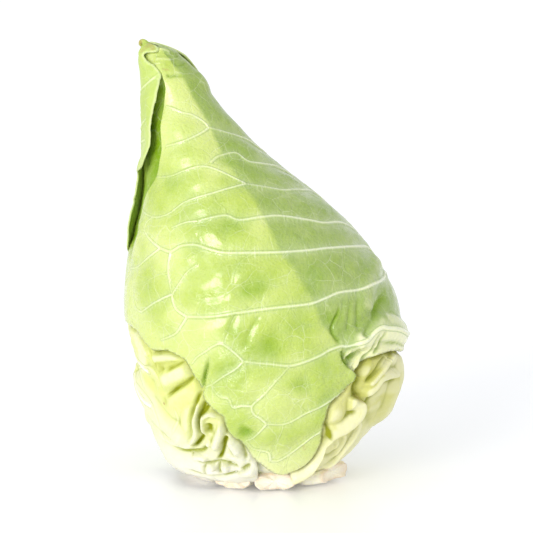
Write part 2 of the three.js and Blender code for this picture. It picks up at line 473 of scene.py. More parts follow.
@dataclass
class Relief:
    """Everything that is worked into one leaf."""

    folds: tuple[Fold, ...] = ()
    creases: tuple[Crease, ...] = ()
    veins: tuple[Vein, ...] = ()
    steps: tuple[Step, ...] = ()
    quilt: float = 0.0
    quilt_width: float = 7.0
    detail: float = 0.5

    def traced(self) -> list[tuple[Trace, float, float]]:
        """Gives every line that needs small cells, with the half width of its band and the size of cell."""
        wide = [(f.route, max(f.left, f.right), min(f.left, f.right, 2.0)) for f in self.folds]
        wide += [(c.route, 1.4 * c.width, c.width) for c in self.creases]
        wide += [(v.route, 0.9 * v.width, v.width * v.coarse) for v in self.veins]
        wide += [(s.route, 1.2 * s.width, s.width) for s in self.steps]
        return [(Trace(route), band, self.detail * width) for route, band, width in wide]

    def work(self, points: Array, normals: Array) -> Worked:
        """Works the lines into some points of the form.

        Args:
            points: places on the form, one row each.
            normals: the form's normals there.

        Returns:
            The move of each point and its masks.
        """
        count = len(points)
        out = Worked(np.zeros((count, 3)), *(np.zeros(count) for _ in range(8)))
        rise = self._fold(points, out)
        rise += self._vein(points, out)
        rise -= self._sink(points, out)
        out.move += normals * rise[:, None]
        return out

    def _fold(self, points: Array, out: Worked) -> Array:
        """Raises the folds, and gives their height at each point."""
        rise = np.zeros(len(points))
        for fold in self.folds:
            trace = Trace(fold.route)
            near = trace.near(points, max(fold.left, fold.right))
            share = np.abs(near.distance) / np.where(near.distance > 0, fold.left, fold.right)
            swell = np.clip(1 - share**2, 0, 1) * self._ends(near.travel, trace.length, fold.fade)
            higher = fold.height * swell > rise[near.index]
            index = near.index[higher]
            rise[index] = fold.height * swell[higher]
            # The crest gets a painted highlight, stronger on higher folds.
            out.crest[index] = ease(1.5 * swell[higher] - 0.5) * min(1.0, fold.height / HIGH_FOLD)
            out.move[index] = near.rightward[higher] * (fold.lean * swell[higher] ** 2)[:, None]
        return rise

    def _vein(self, points: Array, out: Worked) -> Array:
        """Raises the veins and the quilted blade between them, and gives their height at each point."""
        reach = 2.2 * self.quilt_width
        rise, gap = np.zeros(len(points)), np.full(len(points), reach)
        for vein in self.veins:
            trace = Trace(vein.route)
            near = trace.near(points, reach)
            share = near.travel / trace.length
            ends = self._ends(near.travel, trace.length, vein.fade)
            size = (1 - vein.taper * share) * (VEIN_END + (1 - VEIN_END) * ends)
            spread = (near.distance / (vein.width * (1 - 0.6 * vein.taper * share))) ** 2
            crest = size * np.exp(-spread)
            trench = TRENCH_DEPTH * size * np.exp(-spread / TRENCH_SPREAD)
            lift(rise, near.index, vein.height * crest)
            beside = ease(spread - 1)
            rise[near.index] -= vein.height * trench * beside
            away = np.abs(near.distance) + QUILT_DROP * max(0.0, 0.5 - vein.height)
            closer = away < gap[near.index]
            index = near.index[closer]
            gap[index] = away[closer]
            out.along[index] = near.travel[closer]
            tone = min(1.0, 0.35 + 0.75 * vein.height)
            lift(out.vein, near.index, crest * tone)
            halo = size * min(1.0, vein.height) * np.exp(-np.abs(near.distance) / HALO)
            lift(out.near, near.index, halo)
        return rise + self.quilt * (1 - np.exp(-((gap / self.quilt_width) ** 2)))

    def _sink(self, points: Array, out: Worked) -> Array:
        """Sinks the creases and steps, and gives their depth at each point."""
        sunk = np.zeros(len(points))
        for crease in self.creases:
            trace = Trace(crease.route)
            near = trace.near(points, crease.width + CREASE_REACH)
            ends = self._ends(near.travel, trace.length, crease.fade, crease.finish)
            share = np.abs(near.distance) / crease.width
            groove = ends * np.exp(-(share**GROOVE_POWER))
            lift(sunk, near.index, crease.depth * groove)
            beside = np.exp(-((near.distance / (crease.width + CREASE_REACH / 2)) ** 2))
            lift(out.floor, near.index, crease.depth * beside)
            # Painted shade along the crease.
            tint = crease.tint * min(1.0, crease.depth / 2) * ends * np.exp(-(share**2))
            lift(out.hollow_shade, near.index, tint)
        for step in self.steps:
            trace = Trace(step.route)
            near = trace.near(points, step.reach)
            drop = ease(near.distance / step.width) * (1 - ease(near.distance / step.reach * 3 - 2))
            drop *= self._ends(near.travel, trace.length, STEP_FADE)
            lift(out.drop, near.index, step.depth * drop)
            beside = ease((near.distance + UNDER_START) / UNDER_RUN)
            lift(out.under, near.index, step.depth * beside)
            # Painted shade over the lowered side.
            lift(out.hollow_shade, near.index, step.tint * drop)
        return sunk

    @staticmethod
    def _ends(travel: Array, length: float, fade: float, finish: float | None = None) -> Array:
        """Eases a line in over its fade and out over its finish, which is the same unless it is given."""
        finish = fade if finish is None else finish
        start = ease(travel / max(0.01, min(fade, length / 2)))
        return start * ease((length - travel + 0.01) / max(0.01, min(finish, length / 2)))


class Margin:
    """A leaf's outline on the form, as a closed smooth line."""

    def __init__(self, route: Route, ruffle: float = 0.0, seed: int = 1) -> None:
        """Closes and smooths the outline.

        Args:
            route: the outline's knots, anticlockwise as seen from outside, as angles and heights.
            ruffle: how far the edge wavers, mm.
            seed: picks one waver out of many.
        """
        self.line = drawn(route + route[:1], 8)
        if ruffle:
            self._ruffle(ruffle, seed)

    def _ruffle(self, ruffle: float, seed: int) -> None:
        """Makes the edge waver in and out, in waves about 29, 11 and 5 mm long."""
        scale = np.stack((FORM.per_degree(self.line[:, 1]), np.full(len(self.line), FORM.length)), 1)
        flat = self.line * scale
        travel = np.concatenate(([0], np.cumsum(np.linalg.norm(np.diff(flat, axis=0), axis=1))))
        count = int(travel[-1] / RUFFLE_STEP)
        even = np.linspace(0, travel[-1], count, endpoint=False)
        line = np.stack([np.interp(even, travel, column) for column in self.line.T], 1)
        scale = np.stack([np.interp(even, travel, column) for column in scale.T], 1)
        dice = np.random.default_rng(seed)
        waver = np.zeros(count)
        for waves, share in ((count // 24, 0.6), (count // 9, 0.3), (count // 4, 0.2)):
            waver += share * np.sin(2 * math.pi * (np.arange(count) * waves / count + dice.random()))
        slope = (np.roll(line, -1, 0) - np.roll(line, 1, 0)) * scale
        slope /= np.maximum(np.linalg.norm(slope, axis=1, keepdims=True), 1e-9)
        line += np.stack((slope[:, 1], -slope[:, 0]), 1) * (ruffle * waver)[:, None] / np.maximum(scale, 1e-6)
        line[:, 1] = np.clip(line[:, 1], 0, 1)
        self.line = np.concatenate((line, line[:1]))

    def measure(self, angle: Array, reach: Array, limit: float = 14.0) -> tuple[Array, Array, Array]:
        """Measures places against the outline.

        Args:
            angle: their angles.
            reach: their reaches.
            limit: the furthest distance that is told apart.

        Returns:
            The distance to the outline in mm, negative inside, and the outline's nearest angle and reach.
        """
        scale = np.stack((FORM.per_degree(reach), np.full(len(reach), FORM.length)), 1)
        spot, steps = np.stack((angle, reach), 1), np.diff(self.line, axis=0)
        square, segment, share = nearest(spot, self.line, limit, scale)
        close = np.where(segment[:, None] < 0, spot, self.line[segment] + share[:, None] * steps[segment])
        distance = np.sqrt(square) * np.where(self._inside(spot), -1, 1)
        return distance, close[:, 0], close[:, 1]

    def _inside(self, spot: Array) -> Array:
        """Tells which places lie inside the outline, by counting how often it passes to their right."""
        inside = np.zeros(len(spot), bool)
        order = np.argsort(spot[:, 1])
        start, end = self.line[:-1], self.line[1:]
        low, high = np.minimum(start[:, 1], end[:, 1]), np.maximum(start[:, 1], end[:, 1])
        bands = np.array_split(order, len(spot) // BAND + 1) if len(spot) else []
        for band in bands:
            reach = spot[band, 1]
            across = (high > reach.min()) & (low <= reach.max())
            first, last = start[across], end[across]
            crosses = (first[:, 1] > reach[:, None]) != (last[:, 1] > reach[:, None])
            rise = last[:, 1] - first[:, 1]
            slope = (last[:, 0] - first[:, 0]) / np.where(rise == 0, 1, rise)
            meets = first[:, 0] + (reach[:, None] - first[:, 1]) * slope
            inside[band] = (crosses & (spot[band, 0][:, None] < meets)).sum(1) % 2 == 1
        return inside


HALF_DIAGONAL = 0.71  # of a cell one unit wide
CELL_GROWTH = 0.9  # how much larger cells may be for each millimetre away from a line
TRIMS = 6  # how often narrow edges are trimmed


@dataclass
class Lattice:
    """Cells of several sizes laid over a leaf, small where it is finely worked and near its edge.

    Keys are whole numbers of the finest step, so two lattices over one leaf agree along its edge.
    """

    margin: Margin
    base: float = 3.6
    levels: int = 3
    rim_level: int = 2
    rim: float = 1.4
    low: Array = field(init=False)
    pitch: Array = field(init=False)
    shape: Array = field(init=False)

    def __post_init__(self) -> None:
        """Lays the finest steps over the outline's box."""
        line = self.margin.line
        self.low = line.min(0)
        span = line.max(0) - self.low
        broadest = FORM.per_degree(np.linspace(line[:, 1].min(), line[:, 1].max(), 40)).max()
        self.shape = np.ceil(span * (broadest, FORM.length) / self.base).astype(int) * 2**self.levels
        self.pitch = span / self.shape

    def place(self, keys: Array) -> Array:
        """Gives the angle and reach of some keys, one row each."""
        return self.low + keys * self.pitch

    def cells(self, traced: list[tuple[Trace, float, float]], coarsest: int) -> tuple[Array, Array]:
        """Divides the leaf into cells.

        Args:
            traced: the lines that need small cells, with the half width of each band and its size of cell.
            coarsest: the level of the cells that are far from any line.

        Returns:
            The lower corner keys of the cells inside the outline, and the cells' sizes in finest steps.
        """
        size = 2**self.levels
        corners = np.stack(np.meshgrid(*[np.arange(0, n, size) for n in self.shape], indexing="ij"), -1)
        corners = corners.reshape(-1, 2)
        gap = np.zeros(len(corners))
        kept, sizes = [], []
        for level in range(self.levels + 1):
            spot = self.place(corners + size / 2)
            half = HALF_DIAGONAL * self.base / 2**level
            close = np.abs(gap) < self.rim + 4 * half
            gap[close] = self.margin.measure(spot[close, 0], spot[close, 1])[0]
            in_rim = np.abs(gap) < self.rim + half
            wanted = self._wanted(FORM.point(spot[:, 0], spot[:, 1]), traced, half)
            split = (self.base / 2**level > 1.01 * wanted) | (level < coarsest)
            split = np.where(in_rim, level < self.rim_level, split & (gap < 0)) & (level < self.levels)
            done = ~split & (gap < 0)
            kept.append(corners[done])
            sizes.append(np.full(int(done.sum()), size))
            size //= 2
            quarters = np.array([(0, 0), (size, 0), (0, size), (size, size)])
            corners = (corners[split][:, None, :] + quarters).reshape(-1, 2)
            gap = np.repeat(gap[split], 4)
        return self._trimmed(np.concatenate(kept), np.concatenate(sizes))

    def _trimmed(self, corners: Array, sizes: Array) -> tuple[Array, Array]:
        """Drops cells at the edge where the leaf would be only one cell wide."""
        unit = 2 ** (self.levels - self.rim_level)
        filled = np.zeros(self.shape // unit + 2, bool)
        for size in np.unique(sizes):
            steps = np.arange(0, size, unit)
            for across in steps:
                for up in steps:
                    cell = (corners[sizes == size] + (across, up)) // unit + 1
                    filled[cell[:, 0], cell[:, 1]] = True
        for _ in range(TRIMS):
            around = np.stack((filled[:-1, :-1], filled[1:, :-1], filled[:-1, 1:], filled[1:, 1:]))
            edge = around.any(0) & ~around.all(0)
            narrow = np.zeros_like(filled)
            narrow[1:, 1:-1] |= filled[1:, 1:-1] & filled[:-1, 1:-1] & edge[:, :-1] & edge[:, 1:]
            narrow[1:-1, 1:] |= filled[1:-1, 1:] & filled[1:-1, :-1] & edge[:-1, :] & edge[1:, :]
            filled &= ~narrow
        first = corners // unit + 1
        kept = filled[first[:, 0], first[:, 1]]
        return corners[kept], sizes[kept]

    def _wanted(self, points: Array, traced: list[tuple[Trace, float, float]], half: float) -> Array:
        """Gives the cell size that each point wants, from its distance to the lines."""
        finest = self.base / 2**self.levels
        wanted = np.full(len(points), self.base)
        for trace, band, size in traced:
            near = trace.near(points, band + half + 1.5 * self.base)
            away = np.maximum(0, np.abs(near.distance) - half - band)
            wanted[near.index] = np.minimum(wanted[near.index], max(finest, size) + CELL_GROWTH * away)
        return wanted

    def mesh(self, corners: Array, sizes: Array) -> tuple[Array, list[Array], Array]:
        """Joins cells into faces that share their corners.

        Args:
            corners: the cells' lower corner keys.
            sizes: their sizes in finest steps.

        Returns:
            The keys of all corners, blocks of faces as rows of corners' numbers,
            and which corners are on the edge.
        """
        present = np.zeros(self.shape + 1, bool)
        for across, up in ((0, 0), (1, 0), (1, 1), (0, 1)):
            present[corners[:, 0] + across * sizes, corners[:, 1] + up * sizes] = True
        rings = {size: self._rings(corners[sizes == size], size) for size in map(int, np.unique(sizes))}
        for size, ring in rings.items():
            crowded = (present[ring[..., 0], ring[..., 1]].sum(1) > 4) & (size > 1)
            middle = corners[sizes == size][crowded] + size // 2
            present[middle[:, 0], middle[:, 1]] = True
        number = np.full(present.shape, -1)
        number[present] = np.arange(int(present.sum()))
        blocks, edges = [], []
        for size, ring in rings.items():
            numbers = number[ring[..., 0], ring[..., 1]]
            middle = corners[sizes == size] + size // 2
            centre = number[middle[:, 0], middle[:, 1]]
            plain = (numbers >= 0).sum(1) == 4
            quads = numbers[plain][:, :: max(size, 1)]
            blocks.append(quads)
            edges.append(np.stack((quads, np.roll(quads, -1, 1)), -1).reshape(-1, 2))
            for hub, row in zip(centre[~plain], numbers[~plain]):
                row = row[row >= 0]
                pairs = np.stack((row, np.roll(row, -1)), -1)
                blocks.append(np.column_stack((np.full(len(pairs), hub), pairs)))
                edges.append(pairs)
        joined = np.concatenate(edges)
        code = np.sort(joined, 1) @ np.array([number.max() + 1, 1])
        _, back, count = np.unique(code, return_inverse=True, return_counts=True)
        lone = np.zeros(number.max() + 1, bool)
        lone[joined[count[back] == 1].ravel()] = True
        return np.argwhere(present), blocks, lone

    @staticmethod
    def _rings(cells: Array, size: int) -> Array:
        """Gives the keys round each cell, anticlockwise from its lower corner, in finest steps."""
        steps = np.arange(size)[:, None]
        sides = (((0, 0), (1, 0)), ((1, 0), (0, 1)), ((1, 1), (-1, 0)), ((0, 1), (0, -1)))
        ring = np.concatenate([np.array(start) * size + np.array(run) * steps for start, run in sides])
        return cells[:, None, :] + ring


def placed(name: str, data: bpy.types.ID) -> Piece:
    """Makes an object and puts it into the scene."""
    piece = bpy.data.objects.new(name, data)
    bpy.context.scene.collection.objects.link(piece)
    return piece


@dataclass
class Skin:
    """A mesh: corners in millimetres, faces, and the named values and outward direction of each corner."""

    corners: Array
    faces: list[list[int]]
    values: dict[str, Array]
    outward: Array

    def as_object(self, name: str) -> Piece:
        """Makes the mesh an object of the scene, in metres.

        Args:
            name: the piece's name.

        Returns:
            The object, smooth shaded and without a material.
        """
        mesh = bpy.data.meshes.new(name)
        mesh.from_pydata((self.corners * MM).tolist(), [], self.faces)
        mesh.polygons.foreach_set("use_smooth", np.ones(len(mesh.polygons), bool))
        for label, value in self.values.items():
            mesh.attributes.new(label, "FLOAT", "POINT").data.foreach_set("value", value.astype(np.float32))
        outward = mesh.attributes.new("outward", "FLOAT_VECTOR", "POINT")
        outward.data.foreach_set("vector", self.outward.astype(np.float32).ravel())
        mesh.update()
        return placed(name, mesh)


def averaged(places: Array, heights: Array, cell: float = 0.8, spread: float = 2.2) -> Array:
    """Averages heights over their surroundings.

    Args:
        places: where the heights are, in millimetres, two numbers a row.
        heights: one for each place.
        cell: the size of the grid that they are gathered in.
        spread: how far round each place the average reaches.

    Returns:
        The average at each place.
    """
    steps = int(3 * spread / cell)
    spots = (places - places.min(0)) / cell + steps
    whole = spots.astype(int)
    shape = whole.max(0) + steps + 2
    code = whole @ np.array([shape[1], 1])
    count = np.bincount(code, minlength=shape.prod()).reshape(shape)
    total = np.bincount(code, heights, minlength=shape.prod()).reshape(shape)
    kernel = np.exp(-((np.arange(-steps, steps + 1) * cell / spread) ** 2) / 2)
    layers = [total / np.maximum(count, 1), np.minimum(count, 1.0)]
    for axis in (0, 1):
        layers = [np.apply_along_axis(np.convolve, axis, layer, kernel, "same") for layer in layers]
    smooth = layers[0] / np.maximum(layers[1], 1e-6)
    share = spots - whole - 0.5
    first = whole + np.floor(share).astype(int)
    share -= np.floor(share)
    corners = [smooth[first[:, 0] + a, first[:, 1] + b] for a, b in ((0, 0), (1, 0), (0, 1), (1, 1))]
    low = corners[0] * (1 - share[:, 0]) + corners[1] * share[:, 0]
    high = corners[2] * (1 - share[:, 0]) + corners[3] * share[:, 0]
    return low * (1 - share[:, 1]) + high * share[:, 1]


# The masks of hollows, crests and the bloom line carry painted shade and painted highlight.
MASKS = ("vein", "near", "along", "hollow_shade", "crest", "rim", "bloom_and_shade", "spot")
FLOOR_GAP = 0.3  # the least height of a leaf above the floor
TIP_START = 209.0  # the height above which the layers close up at the tip
TIP_LENGTH = 10.0  # the height over which they do
TIP_CLOSING = 0.7  # how much closer they come
COVER_FADE = 3.5  # the distance from its cover's edge at which a leaf's relief is full
RIM_WIDTH = 1.6  # how far in from its edge a leaf is paler
HOLLOW_TONE = 0.85  # how dark the painted shade of the deepest hollows is
HOLLOW_START, HOLLOW_RUN = 0.1, 1.3  # the depth from which painted shade darkens a hollow, and over which it does
CREST_LEAST, CREST_GAIN = 0.4, 0.9  # how much painted highlight a crest keeps that doesn't stand out, and what more it can gain
CREST_RUN = 0.9  # the height over which it does
BLOOM_AND_SHADE_REACH = 200.0  # further than any place on a leaf from the line that bounds its duller, painted-shaded part
BLOOM_AND_SHADE_FADE = 3.0  # the distance over which it becomes duller and takes painted shade
FREE_EDGE = 12.0  # how far in from its edge a leaf is loose, so that both its faces follow the relief


@dataclass
class Spot:
    """A small mark on a leaf, for stains and for pale patches: where it is, how wide, and how strong from 0 to
    1.
    """

    place: Route
    width: float
    strength: float = 1.0


@dataclass
class LeafSheet:
    """One leaf: a closed sheet on the head's form, worked along its lines.

    layer counts the leaves outward from the form, cover is the outline of a leaf that lies over part of it,
    and swell is how far the uncovered part stands up.
    """

    margin: Margin
    relief: Relief
    layer: float
    cover: Margin | None = None
    swell: float = 0.0
    bloom_and_shade: Route = ()
    spots: tuple[Spot, ...] = ()
    pale_and_lit: tuple[Spot, ...] = ()
    thickness: float = 1.4
    grain: int = 1
    roll: float = 0.9
    base: float = 3.6

    def skin(self) -> Skin:
        """Builds the sheet.

        Returns:
            The closed sheet's mesh.
        """
        lattice = Lattice(self.margin, self.base)
        keys, blocks, edge = lattice.mesh(*lattice.cells(self.relief.traced(), self.grain))
        inner_keys, inner_blocks, inner_edge = lattice.mesh(*lattice.cells([], 0))
        outer, _, values, normals = self._laid(lattice, keys, edge)
        _, inner, inner_values, inner_normals = self._laid(lattice, inner_keys, inner_edge)
        stride = int(lattice.shape[1]) + 2
        code, inner_code = keys @ np.array([stride, 1]), inner_keys @ np.array([stride, 1])
        shared = inner_edge & np.isin(inner_code, code)
        number = np.empty(len(inner_keys), int)
        number[shared] = np.searchsorted(code, inner_code[shared])
        number[~shared] = len(keys) + np.arange(int((~shared).sum()))
        faces = [face for block in blocks for face in block.tolist()]
        faces += [face[::-1] for block in inner_blocks for face in number[block].tolist()]
        joined = {name: np.concatenate((values[name], inner_values[name][~shared])) for name in MASKS}
        outward = np.concatenate((normals, inner_normals[~shared]))
        return Skin(np.concatenate((outer, inner[~shared])), faces, joined, outward)

    def _laid(
        self, lattice: Lattice, keys: Array, edge: Array
    ) -> tuple[Array, Array, dict[str, Array], Array]:
        """Lays corners on the leaf.

        Args:
            lattice: where the keys are.
            keys: the corners' keys.
            edge: which of them lie on the leaf's edge.

        Returns:
            Their places on the outer face and on the inner face, their masks, and the form's normals.
        """
        spot = lattice.place(keys)
        gap, near_angle, near_reach = self.margin.measure(spot[:, 0], spot[:, 1])
        spot[edge] = np.stack((near_angle, near_reach), 1)[edge]
        gap = np.where(edge, 0, np.maximum(0, -gap))
        points, normals = FORM.point(spot[:, 0], spot[:, 1]), FORM.normal(spot[:, 0], spot[:, 1])
        worked = self.relief.work(points, normals)
        bare = np.ones(len(points))
        if self.cover:
            bare = ease((self.cover.measure(spot[:, 0], spot[:, 1])[0] + 0.5) / COVER_FADE)
        relief = (worked.move + self.swell * normals) * bare[:, None]
        turned = 1 - np.sqrt(np.clip(1 - np.clip(1 - gap / self.roll, 0, 1) ** 2, 0, 1))
        rounding = self.thickness / 2 * turned
        level = self.layer * LAYER * (1 - TIP_CLOSING * ease((points[:, 2] - TIP_START) / TIP_LENGTH))
        outer = points + normals * (level - rounding - worked.drop)[:, None] + relief
        free = 1 - ease(gap / FREE_EDGE)
        depth = level - self.thickness + rounding - (1 - free) * (worked.floor * bare + worked.under)
        depth -= free * worked.drop
        inner = points + normals * depth[:, None] + relief * free[:, None]
        values = {name: getattr(worked, name) * bare for name in ("vein", "near", "hollow_shade", "crest")}
        # Relief hollows get painted shade, and crests that stand out a stronger painted highlight.
        height = np.einsum("nk,nk->n", relief, normals)
        cavity = averaged(spot * (MM_PER_DEGREE, FORM.length), height) - height
        hollow_shade = HOLLOW_TONE * ease((cavity - HOLLOW_START) / HOLLOW_RUN)
        values["hollow_shade"] = np.maximum(values["hollow_shade"], hollow_shade)
        standing = CREST_LEAST + CREST_GAIN * ease(-cavity / CREST_RUN)
        values["crest"] = np.minimum(1, values["crest"] * standing)
        # Pale patches join the crests: pale tissue, and painted light on folds that face away from the lamps.
        values["crest"] = np.maximum(values["crest"], self._spotted(points, self.pale_and_lit))
        values |= {"along": worked.along, "rim": 1 - ease(gap / RIM_WIDTH)}
        values |= {"bloom_and_shade": self._bloom_and_shade(points), "spot": self._spotted(points, self.spots)}
        outer[:, 2] = np.maximum(outer[:, 2], FLOOR_GAP)
        inner[:, 2] = np.maximum(inner[:, 2], FLOOR_GAP + self.thickness * (gap > 0))
        return outer, inner, values, normals

    def _bloom_and_shade(self, points: Array) -> Array:
        """Gives how far each point lies in the duller part of the leaf, with its wax bloom and painted shade,
        from 0 to 1.
        """
        dull = np.zeros(len(points))
        if self.bloom_and_shade:
            near = Trace(self.bloom_and_shade).near(points, BLOOM_AND_SHADE_REACH)
            dull[near.index] = ease(near.distance / BLOOM_AND_SHADE_FADE + 0.45)
        return dull

    @staticmethod
    def _spotted(points: Array, spots: tuple[Spot, ...]) -> Array:
        """Gives how strongly each point is marked by some spots, from 0 to 1."""
        stain = np.zeros(len(points))
        for spot in spots:
            near = Trace(spot.place).near(points, 2 * spot.width)
            lift(stain, near.index, spot.strength * ease(1.5 - np.abs(near.distance) / spot.width))
        return stain


# The parts of a side vein: shares of its reach and rise, and then the width, height, taper, fade and coarse.
PINNATE_PARTS = (
    (((0, 0), (0.2, 0.1), (0.42, 0.3), (0.6, 0.55)), (1.0, 0.8, 0.35, 1.0, 1.6)),
    (((0.6, 0.55), (0.72, 0.85), (0.8, 1.25)), (0.7, 0.5, 0.6, 6.0, 2.4)),
    (((0.6, 0.55), (0.8, 0.68), (1, 0.75)), (0.7, 0.5, 0.6, 6.0, 2.4)),
    (((0.42, 0.3), (0.5, 0.75), (0.46, 1.1)), (0.6, 0.4, 0.7, 5.0, 2.8)),
)


def pinnate(rib: float, side: int, starts: tuple[float, ...], spread: float, rise: float) -> tuple[Vein, ...]:
    """Branches side veins off an upright midrib, each forked near its end.

    Args:
        rib: the midrib's angle.
        side: 1 for veins that run anticlockwise from it, -1 for clockwise.
        starts: the heights at which they leave it.
        spread: how many degrees they reach.
        rise: how many millimetres they climb.

    Returns:
        The veins.
    """
    veins = []
    for number, start in enumerate(starts):
        reach = side * spread * (1 + 0.13 * math.sin(2.3 * number + rib))
        start += 3 * math.sin(3.7 * number + rib)
        for shares, sizes in PINNATE_PARTS:
            route = tuple((rib + reach * across, start + rise * up) for across, up in shares)
            veins.append(Vein(route, *sizes))
    return tuple(veins)


def routes(*rows: tuple[float, ...]) -> tuple[Route, ...]:
    """Takes rows of points of a front elevation onto the near side of the form."""
    return tuple(front(*row) for row in rows)


def lines(kind: type, rows: tuple[tuple, ...]) -> tuple:
    """Makes lines of one kind, such as folds.

    Args:
        kind: the class of the lines.
        rows: for each line its route, or its points in front elevation, and then its sizes.

    Returns:
        The lines.
    """
    return tuple(kind(row[0] if isinstance(row[0][0], tuple) else front(*row[0]), *row[1:]) for row in rows)


# The sharp shoulder that folds across the right side, from right to left.
SHOULDER = front(
    67, 73, 66, 74.5, 63.5, 77.3, 60.4, 79.4, 56, 81, 53.3, 82, 51.3, 81.6, 49.4, 80.4, 47.6, 78.6,
    45.7, 77.2, 41.3, 76.2, 37.8, 75.3, 35.6, 75.8,
)
# Lines of the front wrapper leaf. Its midrib lies round the right side, and its main veins run left from it.
MAIN_VEINS = (
    ((12, 162),) + front(-10, 171, -19, 175, -28, 178),
    ((12, 148),) + front(6, 157, -2, 160, -9, 162, -15, 166, -23, 165, -27, 162),
    ((12, 134),) + front(25, 144, 16, 147, 8, 148, 0, 150, -10, 152),
    ((12, 121),) + front(37, 130, 28, 132, 21, 134, 7, 137, -2, 137, -13, 136, -19, 138, -26, 137, -33, 135),
    ((12, 103),) + front(
        56, 112, 50, 117, 46, 119, 32, 121, 18, 121, 8, 121, -9, 121, -20, 121, -26, 122, -34, 124, -41, 123,
        -46, 120, -51, 121,
    ),
    ((12, 96),) + front(
        63, 104, 58, 103, 51, 102, 45, 101, 35, 101, 28, 99, 21, 97, 8, 96, -2, 95, -15, 93, -26, 91, -38, 90,
    ),
    ((12, 74), (5, 72)) + SHOULDER + front(30, 74.4, 26, 72.4, 18, 69.5, 11, 68, 1, 69, -11, 70),
)
LOW_VEINS = routes(
    (38, 54, 33, 51, 26, 47, 19, 44, 9, 39, 0, 39),
    (27, 34, 22, 31, 16, 26, 11, 23, 6, 21, 2, 21),
)
BRANCH_VEINS = routes(
    (-28, 178, -31, 181, -36, 184, -40, 185, -45, 187, -49, 188),
    (-28, 178, -33, 175, -40, 172, -49, 169),
    (-10, 152, -20, 157, -28, 160, -34, 160, -40, 158, -47, 155, -53, 154),
    (-10, 152, -19, 150, -26, 148, -33, 146, -40, 143, -48, 137, -55, 135, -61, 137),
    (-33, 135, -39, 134, -46, 131),
    (-51, 121, -56, 124, -59, 128, -58, 132, -55, 135),
    (-51, 121, -58, 115, -63, 110, -67, 108),
    (-46, 120, -47, 114, -47, 109, -46, 103, -45, 100),
    (-38, 90, -43, 93, -45, 97, -45, 100, -42, 105, -38, 111, -33, 115),
    (-45, 100, -49, 98, -55, 94, -61, 89, -64, 91, -65, 95),
    (-38, 90, -41, 85, -44, 81, -51, 77),
    (-11, 70, -15, 74, -21, 78, -25, 77, -29, 74, -33, 71, -36, 67),
    (-11, 70, -15, 66, -21, 62, -26, 58, -30, 56),
    (0, 39, -3, 42, -6, 44, -7, 48, -2, 53, 4, 60, 11, 68),
    (-7, 48, -12, 48, -16, 47, -18, 51, -22, 52, -25, 55, -26, 58),
    (0, 39, -4, 34, -7, 31, -10, 30),
    (2, 21, 1, 24, -3, 25, -7, 26, -10, 30),
)
FINE_VEINS = routes(
    (6, 148, 5, 141, 7, 138),
    (-25, 147, -24, 144, -20, 141, -20, 138),
    (-14, 136, -16, 133, -20, 130, -20, 126),
    (-5, 121, -11, 118, -15, 113, -16, 106, -14, 101, -9, 96),
    (-16, 105, -11, 106, -4, 108, 5, 106, 14, 109, 21, 108, 25, 112, 32, 119),
    (21, 108, 24, 103, 26, 100),
    (11, 96, 9, 92, 6, 86, 12, 81, 12, 75),
    (12, 94, 17, 87, 25, 87, 31, 83),
    (-21, 62, -19, 56, -18, 51),
    (-11, 70, -9, 64, -13, 57),
    (-59, 128, -62, 127, -66, 122),
    (-21, 78, -19, 85, -16, 92),
    (21, 53, 19, 62, 20, 66, 28, 62, 38, 62),
    (-15, 166, -14, 169, -12, 171),
    (-27, 71, -28, 64, -26, 58),
    (-6, 44, -10, 41, -15, 38, -18, 37),
    (8, 38, 6, 32, 2, 24),
    (16, 147, 13, 142, 14, 136),
    (-30, 122, -32, 128, -31, 134),
    (20, 121, 17, 127, 21, 133),
    (38, 120, 37, 112, 42, 106, 41, 102),
    (-47, 110, -54, 107, -60, 103, -66, 100),
    (-54, 107, -57, 112, -58, 115),
    (-33, 91, -30, 98, -22, 100, -16, 104),
    (19, 44, 14, 50, 10, 55, 3, 58),
    (14, 50, 22, 52, 27, 48),
    (-3, 25, -5, 20, -2, 17),
    (11, 23, 9, 18, 11, 14),
)
# Where the front wrapper leaf tucks in under the left wrapper leaf. The strip it lowers is painted with the
# shade cast by that leaf's edge.
TUCK = front(
    -67, 110, -63, 126, -61, 138, -58, 145, -54, 153, -52, 159, -51, 166, -51, 179, -50, 189, -49, 196,
    -50, 201, -52, 206,
)
TUCKED = Step(TUCK, depth=2.4, width=0.8, reach=26)
# Where the lower right leaf comes out from under the front leaf.
POCKET = front(36, 77, 35.8, 72, 36.4, 68.5, 38.9, 65.5, 42, 62.2, 44, 60, 47, 57)
FRONT_MARGIN = front(
    10.5, 15, 8.5, 14.8, 6, 15.3, 3, 16.5, -1, 19, -5.3, 21.3, -8.9, 24.2, -11.9, 28.5, -14.9, 31,
    -17.9, 33.7, -20, 37.6, -20.9, 42, -24.2, 44.3, -27.8, 47.8, -29.9, 50.2, -31.6, 53.8, -32.8, 58.5,
    -35.4, 61.8, -37.7, 66.3, -40, 69, -43.2, 71, -47, 72, -51, 71.5, -55, 71, -57.5, 73, -60.5, 76,
    -63, 78.5,
) + ((-183, 82), (-190, 86), (-200, 98), (-205, 130), (-205, 170), (-205, 216))
FRONT_MARGIN += ((-60, 216), (90, 216), (82, 180), (74, 104), (62, 86), (40, 76), (20, 68), (8, 64))
FRONT_MARGIN += front(
    66.3, 65.2, 64.6, 66.8, 63, 68, 60, 68.8, 55.3, 69, 51.4, 68.6, 48.8, 67.7, 46.3, 65.8, 44.5, 63.5,
    43.6, 61.5, 43, 59.5, 42.3, 57.4, 40.1, 55.9, 37.7, 53.6, 34.8, 51, 31.8, 48.8, 30, 46.4, 28.8, 43.2,
    28, 39.2, 27.6, 36, 27.3, 32.5, 26.8, 29, 25.4, 25.5, 23.4, 22.4, 21, 19.8, 17, 17.5, 13, 16,
)
